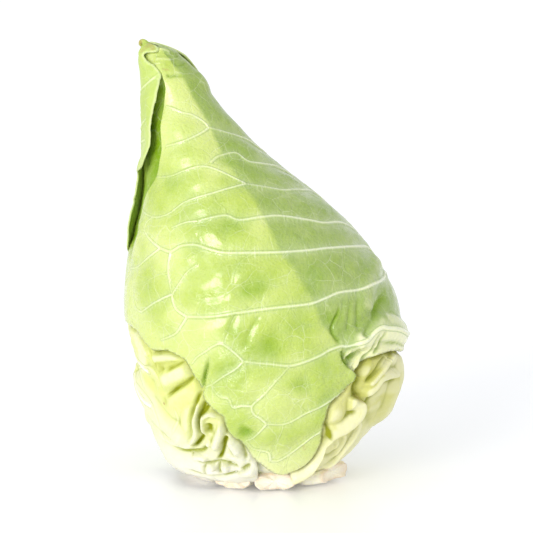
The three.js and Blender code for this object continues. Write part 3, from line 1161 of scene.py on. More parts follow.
# The line to whose left the front leaf is duller: partly its wax bloom, partly painted shade where it turns
# away from the light.
FRONT_BLOOM_AND_SHADE = front(
    -45, 206, -30, 182, -25, 172, -20, 163, -14, 155, -8, 147, -2, 137, 6, 122, 16, 108, 22, 98, 26, 87,
    33, 80, 37, 74, 42, 60,
)


# Each line's points in front elevation, or its route, and then its own sizes.
FRONT_CREASES = (
    ((-27, 73, -28.5, 66.5, -30, 60, -31.4, 54), 3, 0.9, 12, 0),
    ((36, 77, 33, 80, 31, 84, 32, 88, 34, 92, 35, 98), 1.8, 0.9, 2, 10),
    ((37, 100, 36, 93, 34, 87, 32, 84), 0.7, 1.2, 6, 4, 0.6),
    ((40, 99, 39, 90, 38, 81), 0.8, 1.1, 8, 4, 0.6),
    ((44, 100, 43, 91, 43, 80), 0.8, 1.1, 8, 4, 0.6),
    ((58, 98, 54, 92, 51, 87, 47, 82, 46, 78), 2.6, 2.2, 9, 2, 0.7),
    ((-14, 94, -17, 88, -19, 80), 0.7, 1, 2, 5, 0.8),
    ((-3, 93, -8, 84, -11, 75), 0.7, 1.4, 3, 4, 0.9),
    ((-16, 108, -9, 104, -1, 106, 5, 102), 0.9, 6, 9, 9, 1.6),
    ((-4, 84, 3, 79, 10, 80), 1, 6, 8, 8, 1.4),
    ((-25, 131, -15, 134, -8, 129), 0.7, 5.5, 8, 8, 1.7),
    ((-26, 160, -20, 163, -17, 157), 0.7, 5, 7, 7, 1.6),
    ((10, 63, 16, 58, 23, 60), 0.8, 5, 7, 7, 1.2),
    ((-15, 36, -10, 35, -7, 38), 1.1, 4, 4, 4, 1.8),
    ((28, 94, 31, 84), 0.8, 4, 7, 7, 1.2),
    ((-9, 52, -3, 46), 0.5, 4, 6, 6, 1.2),
    ((5, 116, 1, 106, -5, 98), 0.35, 1.3, 6, 6, 1.2),
    ((-24, 177, -12, 165, 2, 152), 0.25, 9, 12, 12, 3.5),
    ((-26, 58, -8, 52, 8, 52, 26, 58), 0.3, 13, 14, 14, 0.9),
    ((-4, 34, 6, 32, 18, 38), 0.3, 9, 9, 9, 0.6),
    ((52.6, 79.2, 50, 74.6, 48.1, 70.6), 1.2, 0.7, 1, 3),
    ((55.3, 79.7, 54.5, 76.6, 53.2, 72.9, 50, 69.4), 1.6, 0.9, 1, 3, 0.8),
    ((36, 73.8, 36.8, 70, 38.2, 67.3, 40.8, 64.5), 1.5, 1.3, 1, 2, 1.5),
    ((43.5, 74, 41.3, 69, 40.3, 66), 1, 0.8, 1, 3),
    ((-49, 203, -47, 202, -44, 202.4, -40, 201.4), 1.1, 0.9, 1, 4, 1.2),
    ((-46, 208, -43, 207, -40, 208), 0.8, 0.8, 2, 3),
)
FRONT_FOLDS = (
    (((14, 71), (5, 71.5)) + SHOULDER, 4.2, 6.5, 8, 11),
    ((52, 79, 50.8, 77, 49, 73.8, 47.7, 71.3, 45.7, 69, 43.8, 64.7, 42.6, 61.8), 2.8, 1.7, 1.7, 3),
    ((53.9, 79, 53.2, 77.4, 52, 75, 50.5, 72), 1.8, 0.9, 0.9, 2),
    ((47, 72.3, 44.5, 69, 42, 65.2, 41.3, 63.2), 1.5, 1, 1, 2),
    ((41.3, 74, 38.9, 70.5, 38.2, 67.3), 2, 1.4, 1.4, 2),
    (((4, 66),) + front(66, 67, 63, 69.6, 60, 70.2, 55.3, 70.4, 51.4, 70, 48.8, 69), 1.2, 2.5, 2.5, 4),
    ((56, 112, 50, 104, 48, 94, 49, 86), 1.4, 6, 6, 8),
    (((-40, 201), (-15, 199), (10, 198), (40, 198)), 1.3, 8, 6, 7),
    (((-60, 213), (-30, 213.5), (20, 213)), 0.8, 3, 4, 3),
    ((-54, 214, -51, 214, -47, 212), 1.2, 1.4, 1.4, 2),
    ((-55, 210, -51, 210, -46, 209), 1, 1.6, 1.6, 2),
)
FRONT_SPOTS = (
    ((18, 26, 18.5, 24.5), 0.7, 0.35),
    ((-19, 57, -19, 56.5), 0.5, 0.2),
    ((-50.5, 205.5, -48, 205), 0.45, 0.4),
)
# Patches painted pale: the flap's pale tissue, with painted light where the folds face away from the lamps.
FRONT_PALE_AND_LIT = (
    (front(50, 73, 55, 74.5, 60, 74, 66, 71) + ((8, 70),), 6.5, 1),
    ((43.5, 65, 46, 69, 49, 74, 51, 77), 3, 0.8),
    ((40, 72, 44, 74), 1.8, 0.6),
    ((58, 85, 62, 83, 65, 80), 3, 0.6),
)


def front_wrapper() -> LeafSheet:
    """Describes the big leaf that wraps the front, the right side and part of the back."""
    ranks = (
        (MAIN_VEINS, (0.95, 0.9, 0.45, 0.3)),
        (LOW_VEINS, (0.66, 0.6, 0.3, 0.3)),
        (BRANCH_VEINS, (0.58, 0.55, 0.35, 0.3)),
        (FINE_VEINS, (0.42, 0.18, 0.2, 0.5, 2)),
    )
    veins = tuple(Vein(route, *sizes) for rank, sizes in ranks for route in rank)
    veins += (Vein(((12, 76), (12, 100), (13, 120), (15, 145), (18, 170), (24, 195)), 2.6, 1.5, 0.6, 4),)
    veins += pinnate(13, 1, (84, 104, 126, 148, 170), 62, 24)
    creases = lines(Crease, FRONT_CREASES)
    folds = lines(Fold, FRONT_FOLDS)
    spots = lines(Spot, FRONT_SPOTS)
    pale_and_lit = lines(Spot, FRONT_PALE_AND_LIT)
    steps = (TUCKED, Step(POCKET, 4.5, 1, 15, 0.05))
    relief = Relief(folds, creases, veins, steps, quilt=1.1, detail=0.55)
    margin = Margin(FRONT_MARGIN, 0.25, 3)
    return LeafSheet(margin, relief, 0, bloom_and_shade=FRONT_BLOOM_AND_SHADE, spots=spots, pale_and_lit=pale_and_lit, base=4.3)


LEFT_EDGE = front(
    -68.5, 117, -67, 126, -65, 136, -63, 146, -61, 152, -58, 158, -56, 163, -54, 169, -54, 178, -53, 186,
    -52, 191, -51, 199, -51, 203, -54, 207, -56, 209, -58, 212, turns=1,
)


def left_wrapper() -> LeafSheet:
    """Describes the outermost leaf, which wraps the back and the left and ends in the tip."""
    margin = ((120, 9.8), (145, 9.8), (160, 9.8), (161, 40), (161, 80), (163, 100), (170, 111)) + LEFT_EDGE
    margin += ((276, 213.5), (284, 215.5), (276, 217), (140, 217), (0, 217), (8, 212), (28, 205), (36, 196))
    margin += ((40, 180), (48, 155), (58, 112), (70, 80), (96, 40))
    midrib = Vein(((149, 10), (149, 60), (150, 110), (152, 150), (158, 185), (170, 212)), 3.4, 2.4, 0.75, 5)
    veins = pinnate(149, -1, (34, 58, 82, 106, 130, 154, 178), 72, 26)
    veins += pinnate(150, 1, (110, 132, 154, 176), 50, 18)
    faint = (
        front(-62, 169, -59, 170, -56, 172, turns=1),
        front(-61, 175, -58, 180, -55, 182, turns=1),
        front(-52, 203, -57, 198, -61, 193, turns=1),
    )
    veins += tuple(Vein(route, 0.8, 0.5, 0.3) for route in faint)
    edge = Fold(LEFT_EDGE[:-3], 1.2, 7, 7, 9)
    nub = Fold(((240, 205), (225, 212), (200, 216)), 1.2, 3, 3, 3)
    spots = (Spot(((225, 214), (250, 216)), 1, 0.4), Spot(((262, 214.5), (262, 217)), 0.9, 0.5))
    relief = Relief((edge, nub), (), (midrib,) + veins, quilt=0.9, detail=0.75)
    return LeafSheet(Margin(margin, 0.3, 5), relief, 1, spots=spots, thickness=1.0, roll=0.5)


LOWER_LEFT_FOLDS = (
    ((-64, 80, -61.8, 75.5, -60, 72, -58, 68.6, -56.5, 65.3), 1.8, 0.9, 4, 4),
    ((-57, 65.5, -54, 67, -48, 69, -43, 70.5, -38, 73), 2, 3, 3, 7),
    ((-54, 53, -50, 56, -46, 59, -41, 62.3, -37, 65.5, -34, 68), 2.6, 5, 5, 12),
    ((-62, 57.5, -59, 60, -55.5, 61, -52.5, 58.5, -50.5, 54, -49.5, 50), 1.6, 1.6, 6),
    ((-51, 40, -47, 44, -43, 48, -38.5, 52, -34.5, 56.5, -32, 61), 1.6, 4.5, 9, 13),
    (((-179, 58),) + front(-64, 51, -60, 44, -54, 38, -47, 32, -41, 28, -36, 26), 3.4, 8, 7, 7),
    ((-34.5, 51, -36.5, 46, -38, 40, -38.5, 33, -40, 27), 1.8, 2, 5, 9),
    ((-31.5, 50.5, -32.6, 46.5, -33.6, 42, -34, 37, -33.6, 32, -35, 27.5, -38, 25), 2.8, 1.6, 2.4),
    ((-28.5, 30, -30, 33.5, -31, 37, -30.4, 40.8, -27, 43, -24, 42, -22, 40), 2.6, 1.7, 1.7),
    ((-22, 40.5, -21.3, 37, -22.4, 33, -23.6, 29.5, -24.4, 26.5, -25.6, 23.5), 3.4, 2.6, 2.6),
    ((-28.6, 29, -28, 27, -27.6, 25), 1.8, 1.8, 1.8, 2),
    ((-19, 33, -17.4, 29.8, -15.5, 26.5, -13.9, 24, -13, 22), 3.4, 3.4, 2.8),
    ((-54, 26, -47, 24.6, -43, 24.3, -38.5, 24.3, -34, 25), 1.6, 2.6, 1.2),
    ((-36, 21, -32, 21.4, -28, 21), 2.8, 1.9, 1.9, 2),
    ((-27, 18.3, -24.4, 18.8), 3.4, 2.4, 2.2, 1.6),
    ((-21.4, 18.8, -17.4, 19.2), 3.2, 2.9, 2.7, 2),
    ((-22, 22.8, -17, 22.2, -12.5, 21.4, -8, 20), 1.8, 1, 1.3),
    ((-34, 17, -28, 16, -22, 15, -16, 15.4), 1.2, 2.6, 3, 6),
    ((-15, 17.5, -10, 17.5, -5, 18.5), 2.6, 2.2, 4, 3),
    (((-156, 30), (-158, 48), (-160, 66), (-162, 90)), 1.4, 9, 9, 10),
    (((-196, 34), (-192, 60), (-196, 84)), 2.6, 6, 6, 8),
    (((-182, 24), (-188, 34), (-196, 44)), 2, 4, 4, 6),
)
LOWER_LEFT_CREASES = (
    ((-60.5, 76, -58, 71.5, -56, 67.5, -54.8, 64, -53, 61), 1, 1.2, 4, 4, 0.8),
    ((-48.5, 62, -46, 63.5, -43, 65.5, -40.2, 67.6), 1.8, 0.8, 4, 0),
    ((-50, 47.5, -46.5, 50.5, -43.3, 53.5, -38.3, 57.5, -35, 61.2), 2.2, 0.9, 7, 0, 1),
    ((-31.4, 54, -32.9, 50.5, -33.9, 46.5, -35, 42.5, -35.8, 38), 2.4, 0.9, 1, 7, 1.4),
    ((-29.5, 49.5, -30.6, 45, -31.8, 42, -32.1, 39, -32, 35.2, -30.9, 31, -32.2, 28.3, -34.2, 25.8,
      -36.5, 24.2), 3, 0.9, 1, 5, 1.5),
    ((-27.6, 47.8, -29.5, 45, -31.6, 42.2), 3, 1.2, 0, 1, 1.6),
    ((-28.2, 38.5, -27.6, 35.5, -28.2, 32.3), 2.6, 1.7, 2, 2, 1.4),
    ((-18.8, 32, -20.2, 28.2, -20.9, 25.2, -22.1, 22.5, -24.5, 20.8), 3, 0.9, 1, 4, 1.4),
    ((-10.6, 27.4, -10.9, 25.5, -10.1, 23.5, -9.8, 21), 2.2, 1, 0, 3, 1.2),
    ((-47.2, 23.2, -42.9, 22.8, -38.5, 22.6, -33.6, 23.2, -30.5, 24, -28.6, 26), 2.2, 1.1, 6, 3, 0.6),
    ((-37.7, 23, -33.5, 19.8, -27.5, 19.6, -22.9, 20.4, -18.2, 20, -12.7, 18.7), 2.2, 1.1, 3, 3, 0.5),
    ((-39, 16.2, -34, 15.4, -28, 15.2, -19.6, 16, -12.2, 17.8, -7, 20.5), 1.8, 1.1, 4, 3, 0.4),
    ((-22.8, 20.4, -23.4, 18, -22.2, 16.2), 2, 1, 1, 1, 0.6),
    ((-29.6, 19.6, -30.6, 17.6, -29.4, 15.4), 1.6, 1, 1, 1, 0.5),
    ((-54, 63.4, -51, 62.4, -48.5, 62), 0.9, 2, 3, 3),
    ((-50, 49, -49.4, 46, -47.5, 43), 1, 1.8, 3, 4),
)
LOWER_LEFT_VEINS = (
    ((-64, 57, -60, 60.5, -55.5, 61.5, -52, 58, -50, 53), 0.6, 0.3, 0.3),
    ((-66, 52, -58, 46, -52, 38, -49, 30), 1, 0.3, 0.3),
    ((-64, 36, -56, 30, -48, 24), 1, 0.3, 0.3),
    ((-44, 44, -43, 38, -44, 31), 0.9, 0.25, 0.3),
)
# Patches painted pale: the stalk's pale tissue, with painted highlight along the folds.
LOWER_LEFT_PALE_AND_LIT = (
    ((-63, 54, -58, 46, -53, 38, -47, 31, -41, 26.5), 6, 0.7),
    ((-63, 75, -61, 69, -60.5, 61), 3.6, 0.8),
    ((-49, 57, -44, 60, -39, 63), 3.4, 0.4),
    ((-48, 21, -38, 18, -26, 16, -12, 16), 4, 0.6),
    ((-34, 40, -35, 30), 2.2, 0.6),
)


def lower_left(cover: Margin) -> LeafSheet:
    """Describes the crumpled leaf at the lower left, whose pale stalk and folds show under the wrapper.

    Args:
        cover: the outline of the wrapper leaf over it.

    Returns:
        The leaf.
    """
    folds = lines(Fold, LOWER_LEFT_FOLDS)
    creases = lines(Crease, LOWER_LEFT_CREASES)
    veins = lines(Vein, LOWER_LEFT_VEINS)
    veins += pinnate(-150, -1, (40, 62), 40, 22)
    spots = (Spot(front(-50.2, 44.6, -49.8, 44.2), 0.4, 0.9), Spot(front(-59, 67, -59.4, 66.6), 0.4, 0.6))
    pale_and_lit = lines(Spot, LOWER_LEFT_PALE_AND_LIT)
    margin = ((-178, 13), (-150, 13), (-132, 12.6), (-118, 11), (-96, 11), (-91, 13), (-91, 30), (-94, 80))
    margin += ((-94, 150), (-94, 211), (-160, 211), (-218, 211), (-218, 150), (-218, 80), (-204, 30))
    relief = Relief(folds, creases, veins, (TUCKED,), quilt=0.4, detail=0.4)
    return LeafSheet(Margin(margin), relief, -1, cover, swell=1.8, spots=spots, pale_and_lit=pale_and_lit)


ROLLED_EDGE = front(
    39, 48.6, 43.8, 47.6, 45.6, 44.5, 44.9, 41, 43, 38.3, 40.6, 36.4, 37, 34, 32.9, 32.4, 30, 30.4,
    28.3, 27.9, 25.8, 23, 23.3, 19.3, 19.8, 15.8, 14, 13.5, 10.3, 12.4,
)
LOWER_RIGHT_FOLDS = (
    (front(46.4, 47.6, 48.4, 50.2, 51.8, 52.8, 54.5, 55.7, 57.7, 56.5, 61, 56, 64, 54.6)
     + ((2, 52),), 3.4, 4, 2.2),
    ((47, 54, 49.1, 55.2, 52.4, 57.6, 55, 60, 58.4, 63, 60.8, 65.5, 64, 69), 2.6, 1.3, 3.4),
    ((44, 56, 46.5, 60, 49.5, 63.5, 52.5, 66.5), 1.6, 4, 3, 8),
    (front(50, 26, 54, 31, 59, 38, 62, 46, 64, 52) + ((3, 58),), 4.4, 10, 12, 16),
    ((47, 41, 52, 42.5, 57, 44), 1.5, 4, 5),
    (ROLLED_EDGE, 4.2, 1.6, 6, 3, -0.6),
    ((34, 50, 34, 44, 32, 38, 30, 34), 1.8, 6, 5, 8),
    ((44, 38, 44.4, 34.2, 43.4, 30.2, 41.3, 26, 37.5, 21.6, 33, 17.5, 26, 14.5), 2.4, 3, 1.6),
    ((36, 31, 38.5, 27.5, 36, 22.5, 31, 18.5), 1.3, 1.4, 1.6),
    ((33, 29, 34.5, 25, 31, 21), 1.2, 1.4, 1.4),
    (((-8, 20), (-4, 30), (0, 46)), 1.2, 8, 8, 8),
    (((16, 16), (14, 34), (16, 56)), 1.6, 7, 7, 8),
)
LOWER_RIGHT_CREASES = (
    ((59.4, 67.5, 55.5, 64.5, 53, 61, 49.8, 58, 47.1, 55.5), 1.4, 0.8, 3, 4),
    ((46.3, 44.8, 48.9, 45.5, 51, 48.5, 54.5, 51.7, 57.5, 54.8), 1.6, 1.5, 3, 4, 1.3),
    ((43, 61, 43.9, 57.6, 43.2, 54.2, 43.7, 50.5, 45.5, 47), 3.2, 2.2, 1, 3),
    ((34.8, 51, 30.8, 46.8, 29, 42, 28.6, 38, 29.4, 34, 28.2, 31, 26, 26, 23, 21.5, 19, 18.5,
      13, 16), 2.6, 1, 1, 2, 1.2),
    ((29.4, 35, 29.2, 32.4, 28, 30), 1.5, 1.3, 1, 2, 2),
    ((44.5, 62.5, 46.3, 65, 48.8, 66.9, 51.4, 67.8, 55.3, 68.2, 60, 68.8, 66, 69.4), 1.8, 1.1, 1, 1, 1.3),
    ((47, 43.5, 46.2, 40, 44.2, 37, 41, 34.8, 37.5, 32.3, 33, 30.2, 30.6, 27.6), 1.4, 0.8, 2, 3),
    ((47, 40, 50, 36, 50, 31), 1, 2.6, 4, 6, 0.8),
    ((27, 21, 31, 20.5, 35, 23.5), 1, 1.2, 2, 3),
)
# Patches painted pale: pale tissue, with painted light on the folds and the rim.
LOWER_RIGHT_PALE_AND_LIT = (
    ((51, 47, 57, 51, 62, 50, 66, 52), 4, 0.6),
    ((35, 36, 40, 39, 42, 44), 2.6, 0.8),
    (front(58, 61, 63, 60) + ((2, 61),), 4.5, 0.9),
    ((64, 56, 62, 44, 56, 32, 48, 22), 3, 0.6),
    ((44, 33, 41, 27, 35, 20), 1.6, 0.7),
)


def lower_right(cover: Margin) -> LeafSheet:
    """Describes the leaf at the lower right, with its rolled edge and the pocket under the wrapper.

    Args:
        cover: the outline of the wrapper leaf over it.

    Returns:
        The leaf.
    """
    folds = lines(Fold, LOWER_RIGHT_FOLDS)
    creases = lines(Crease, LOWER_RIGHT_CREASES)
    veins = (Vein(front(58, 69, 60, 63, 62, 57), 0.7, 0.35, 0.4),) + pinnate(-10, 1, (26, 44), 30, 18)
    margin = ((-62, 9.8), (-20, 9.8), (16, 9.8), (24, 30), (26, 80), (26, 150), (26, 211), (-30, 211))
    margin += ((-90, 211), (-90, 150), (-90, 80), (-78, 30))
    relief = Relief(folds, creases, veins, (Step(POCKET, 7, 1, 13),), quilt=0.4, detail=0.4)
    spots = (Spot(front(43.6, 48.6, 45, 48), 1, 0.35),)
    pale_and_lit = lines(Spot, LOWER_RIGHT_PALE_AND_LIT)
    return LeafSheet(Margin(margin), relief, -1, cover, swell=1.6, spots=spots, pale_and_lit=pale_and_lit)


def back_leaf() -> LeafSheet:
    """Describes the leaf that shows low on the back, between the wrapper leaves."""
    margin = ((14, 9.8), (80, 9.8), (146, 9.8), (154, 30), (158, 80), (158, 140), (158, 200), (80, 200))
    margin += ((8, 200), (8, 140), (8, 80), (12, 30))
    midrib = Vein(((86, 10), (86, 50), (86, 90), (87, 140)), 5, 3.2, 0.6, 6)
    veins = (midrib,) + pinnate(86, 1, (22, 38, 56, 74), 52, 20) + pinnate(86, -1, (18, 34, 50, 66), 56, 20)
    folds = (
        Fold(((52, 12), (54, 34), (50, 56)), 2.4, 8, 6, 8),
        Fold(((118, 12), (116, 36), (120, 60)), 2.4, 6, 8, 8),
        Fold(((30, 14), (34, 30), (30, 46)), 2, 5, 5, 6),
        Fold(((136, 14), (133, 30), (137, 50)), 2, 5, 5, 6),
    )
    return LeafSheet(Margin(margin), Relief(folds, (), veins, quilt=1.0, detail=0.75), -2)


def inner_leaf() -> LeafSheet:
    """Describes the leaf low on the front, seen only in the gap between the two lower leaves."""
    margin = ((-118, 9.8), (-96, 9.8), (-70, 9.8), (-64, 60), (-74, 150), (-94, 150), (-112, 150), (-124, 60))
    veins = pinnate(-96, 1, (20, 40, 62), 22, 16) + pinnate(-96, -1, (16, 34, 54), 22, 16)
    midrib = Vein(((-96, 10), (-96, 50), (-96, 120)), 3.5, 2.2, 0.6, 6)
    folds = (Fold(((-104, 10), (-103, 20), (-101, 34)), 2.4, 4, 4, 5),)
    return LeafSheet(Margin(margin), Relief(folds, (), (midrib,) + veins, quilt=0.8, detail=0.75), -2)


class Slot(Enum):
    """Names for the kinds of finish, one for each kind of piece."""

    STEM = "stem"
    HEART = "heart"
    FRONT = "front_wrapper"
    LEFT = "left_wrapper"
    LOWER_LEFT = "lower_left"
    LOWER_RIGHT = "lower_right"
    BACK = "back"
    INNER = "inner"
    STUB = "stub"


class Nodes:
    """Adds nodes to a tree and joins them, for materials, groups and geometry alike."""

    def __init__(self, tree: Tree) -> None:
        """Starts on a tree."""
        self.tree = tree

    def add(self, kind: str, inputs: Inputs | None = None, **settings: object) -> bpy.types.Node:
        """Adds a node.

        Args:
            kind: the node's type.
            inputs: values, or sockets to join, by the input's name or number.
            settings: the node's own settings.

        Returns:
            The node.
        """
        node = self.tree.nodes.new(kind)
        for name, value in settings.items():
            setattr(node, name, value)
        for key, value in (inputs or {}).items():
            if isinstance(value, Socket):
                self.tree.links.new(value, node.inputs[key])
            else:
                node.inputs[key].default_value = value
        return node

    def out(self, kind: str, inputs: Inputs | None = None, **settings: object) -> Socket:
        """Adds a node and gives its first output."""
        return self.add(kind, inputs, **settings).outputs[0]

    def math(self, operation: str, *values: object, clamp: bool = False) -> Socket:
        """Adds a sum and gives its result."""
        inputs = dict(enumerate(values))
        return self.out("ShaderNodeMath", inputs, operation=operation, use_clamp=clamp)

    def times(self, first: object, second: object, clamp: bool = False) -> Socket:
        """Multiplies two values."""
        return self.math("MULTIPLY", first, second, clamp=clamp)

    def plus(self, first: object, second: object, clamp: bool = False) -> Socket:
        """Adds two values."""
        return self.math("ADD", first, second, clamp=clamp)

    def vector(self, operation: str, inputs: Inputs) -> Socket:
        """Adds a sum of vectors and gives its result."""
        return self.out("ShaderNodeVectorMath", inputs, operation=operation)

    def place(self) -> Socket:
        """Gives the place on the object."""
        return self.add("ShaderNodeTexCoord").outputs["Object"]

    def blend(self, share: object, low: object, high: object, mode: str = "MIX") -> Socket:
        """Blends two colours by a share and gives the result."""
        inputs = {0: share, 6: low, 7: high}
        return self.add("ShaderNodeMix", inputs, data_type="RGBA", blend_type=mode).outputs[2]

    def ramp(
        self, value: object, low: object, high: object, to_low: object = 0.0, to_high: object = 1.0
    ) -> Socket:
        """Maps a value from one range to another, smoothly and without going past its ends.

        Args:
            value: the value to map.
            low: the value that becomes to_low.
            high: the value that becomes to_high.
            to_low: the lowest result.
            to_high: the highest result.

        Returns:
            The mapped value's socket.
        """
        inputs = {0: value, 1: low, 2: high, 3: to_low, 4: to_high}
        return self.out("ShaderNodeMapRange", inputs, interpolation_type="SMOOTHSTEP")

    def noise(self, place: object, scale: object, detail: float = 3.0, rough: float = 0.5) -> Socket:
        """Adds a noise over a place and gives its value."""
        inputs = {"Vector": place, "Scale": scale, "Detail": detail, "Roughness": rough}
        return self.out("ShaderNodeTexNoise", inputs)

    def mask(self, name: str) -> Socket:
        """Reads one of a leaf's named values."""
        return self.add("ShaderNodeAttribute", attribute_name=name).outputs["Fac"]


def cleared(owner: Material | bpy.types.World) -> Nodes:
    """Turns on the nodes of a material or a world, without those it comes with."""
    owner.use_nodes = True
    owner.node_tree.nodes.clear()
    return Nodes(owner.node_tree)


def group(name: str, inputs: dict[str, object], outputs: dict[str, str]) -> tuple[Tree, Nodes, Sockets]:
    """Starts a shader node group.

    Args:
        name: the group's name.
        inputs: its inputs and their first values, a number or a colour.
        outputs: its outputs, each a socket type.

    Returns:
        The group, what adds nodes to it, and its inputs' sockets.
    """
    tree = bpy.data.node_groups.new(name, "ShaderNodeTree")
    for label, value in inputs.items():
        kind = "NodeSocketColor" if isinstance(value, tuple) else "NodeSocketFloat"
        tree.interface.new_socket(label, in_out="INPUT", socket_type=kind).default_value = value
    for label, kind in outputs.items():
        tree.interface.new_socket(label, in_out="OUTPUT", socket_type=kind)
    n = Nodes(tree)
    return tree, n, n.add("NodeGroupInput").outputs


class SharedEffects:
    """The shader groups that several finishes use, each built once."""

    def __init__(self) -> None:
        """Builds the groups."""
        self.net = self._vein_net()
        self.tint = self._leaf_tint()
        self.streaks = self._streaks()
        self.browning = self._browning()

    @staticmethod
    def _vein_net() -> Tree:
        """Builds the net of the smallest veins: cells bounded by thin lines, in two sizes."""
        sizes = {"Mesh per metre": 150.0, "Wander": 0.004, "Line": 0.032}
        tree, n, given = group("smallest veins", sizes, {"Net": "NodeSocketFloat", "Fine": "NodeSocketFloat"})
        place = n.place()
        drift = n.add("ShaderNodeTexNoise", {"Vector": place, "Scale": 90.0, "Detail": 2.0}).outputs["Color"]
        centred = n.vector("SUBTRACT", {0: drift, 1: (0.5, 0.5, 0.5)})
        shift = n.vector("SCALE", {0: centred, "Scale": given["Wander"]})
        bent = n.vector("ADD", {0: place, 1: shift})
        masks = []
        for factor, width in ((1.0, 1.0), (2.7, 1.3)):
            scale = n.times(given["Mesh per metre"], factor)
            inputs = {"Vector": bent, "Scale": scale, "Randomness": 0.9}
            gap = n.add("ShaderNodeTexVoronoi", inputs, feature="DISTANCE_TO_EDGE").outputs["Distance"]
            masks.append(n.ramp(gap, 0.0, n.times(given["Line"], width), 1.0, 0.0))
        patchy = n.ramp(n.noise(place, 60.0), 0.35, 0.62)
        result = {0: n.times(masks[0], patchy), 1: masks[1]}
        n.add("NodeGroupOutput", result)
        return tree

    @staticmethod
    def _leaf_tint() -> Tree:
        """Builds the leaf's body colour: paler towards the stalk, with painted highlight on crests and painted
        shade.
        """
        inputs: dict[str, object] = {name.capitalize(): (0.5, 0.6, 0.2, 1.0) for name in TINTS}
        inputs |= {"Pale below": 0.0, "Green above": 0.05, "Patchiness": 0.5, "Crests": 0.0}
        tree, n, given = group("leaf tint", inputs, {"Colour": "NodeSocketColor"})
        place = n.place()
        broad, fine = n.noise(place, 32.0, 2.0), n.noise(place, 110.0, 4.0, 0.6)
        # Past the bloom line the leaf is duller: partly wax bloom, partly painted shade.
        colour = n.blend(n.mask("bloom_and_shade"), given["Body"], given["Dull"])
        light = n.times(n.ramp(broad, 0.42, 0.66), n.math("SUBTRACT", 1.0, n.mask("bloom_and_shade")))
        colour = n.blend(n.times(light, given["Patchiness"]), colour, given["Bright"])
        dark = n.times(n.ramp(broad, 0.46, 0.28), given["Patchiness"])
        colour = n.blend(n.times(dark, 0.6), colour, given["Deep"])
        colour = n.blend(n.times(n.ramp(fine, 0.4, 0.7), 0.16), colour, given["Bright"])
        height = n.add("ShaderNodeSeparateXYZ", {0: place}).outputs["Z"]
        ragged = n.plus(height, n.times(n.math("SUBTRACT", broad, 0.5), 0.05))
        pale = n.ramp(ragged, given["Pale below"], given["Green above"], 1.0, 0.0)
        colour = n.blend(pale, colour, given["Pale"])
        # Painted highlight on crests and pale patches.
        crests = n.times(n.ramp(n.mask("crest"), 0.05, 1.0), given["Crests"])
        colour = n.blend(crests, colour, given["Pale"])
        uneven = n.ramp(fine, 0.3, 0.7, 0.75, 1.15)
        # Painted shade in hollows, creases and tucked strips.
        colour = n.blend(n.times(n.mask("hollow_shade"), uneven, clamp=True), colour, given["Deep"])
        # Painted shade in the trenches beside the veins.
        trench = n.times(n.ramp(n.mask("vein"), 0.01, 0.09), n.ramp(n.mask("vein"), 0.3, 0.12))
        trench = n.times(trench, n.times(n.mask("near"), 1.4, clamp=True))
        colour = n.blend(trench, colour, given["Deep"])
        n.add("NodeGroupOutput", {0: colour})
        return tree

    @staticmethod
    def _streaks() -> Tree:
        """Builds the short hairs of pale tissue that stand out square from the larger veins."""
        tree, n, given = group("vein hairs", {"Hairs per metre": 900.0}, {"Hairs": "NodeSocketFloat"})
        along = n.times(n.mask("along"), MM)
        line = n.out("ShaderNodeCombineXYZ", {0: along})
        hairs = n.ramp(n.noise(line, given["Hairs per metre"], 1.0), 0.48, 0.7)
        place = n.place()
        hairs = n.times(hairs, n.ramp(n.noise(place, 240.0, 2.0), 0.36, 0.62))
        n.add("NodeGroupOutput", {0: n.times(hairs, n.mask("near"))})
        return tree

    @staticmethod
    def _browning() -> Tree:
        """Builds the browned flecks and edges of cut or bruised tissue."""
        inputs = {"Colour": (0.8, 0.8, 0.8, 1.0), "Brown": (0.4, 0.25, 0.1, 1.0), "Flecks": 0.3}
        tree, n, given = group("browning", inputs, {"Colour": "NodeSocketColor", "Stain": "NodeSocketFloat"})
        place = n.place()
        flecks = n.times(n.ramp(n.noise(place, 420.0, 2.0), 0.68, 0.8), given["Flecks"])
        ragged = n.times(n.mask("spot"), n.ramp(n.noise(place, 600.0), 0.3, 0.55, 0.55, 1.0))
        stain = n.math("MAXIMUM", flecks, ragged)
        n.add("NodeGroupOutput", {0: n.blend(stain, given["Colour"], given["Brown"]), 1: stain})
        return tree


# Besides its own tones, deep paints shade in hollows and beside veins, dull the painted shade past the bloom
# line, and pale the painted highlight on crests.
TINTS = ("body", "bright", "dull", "deep", "pale")


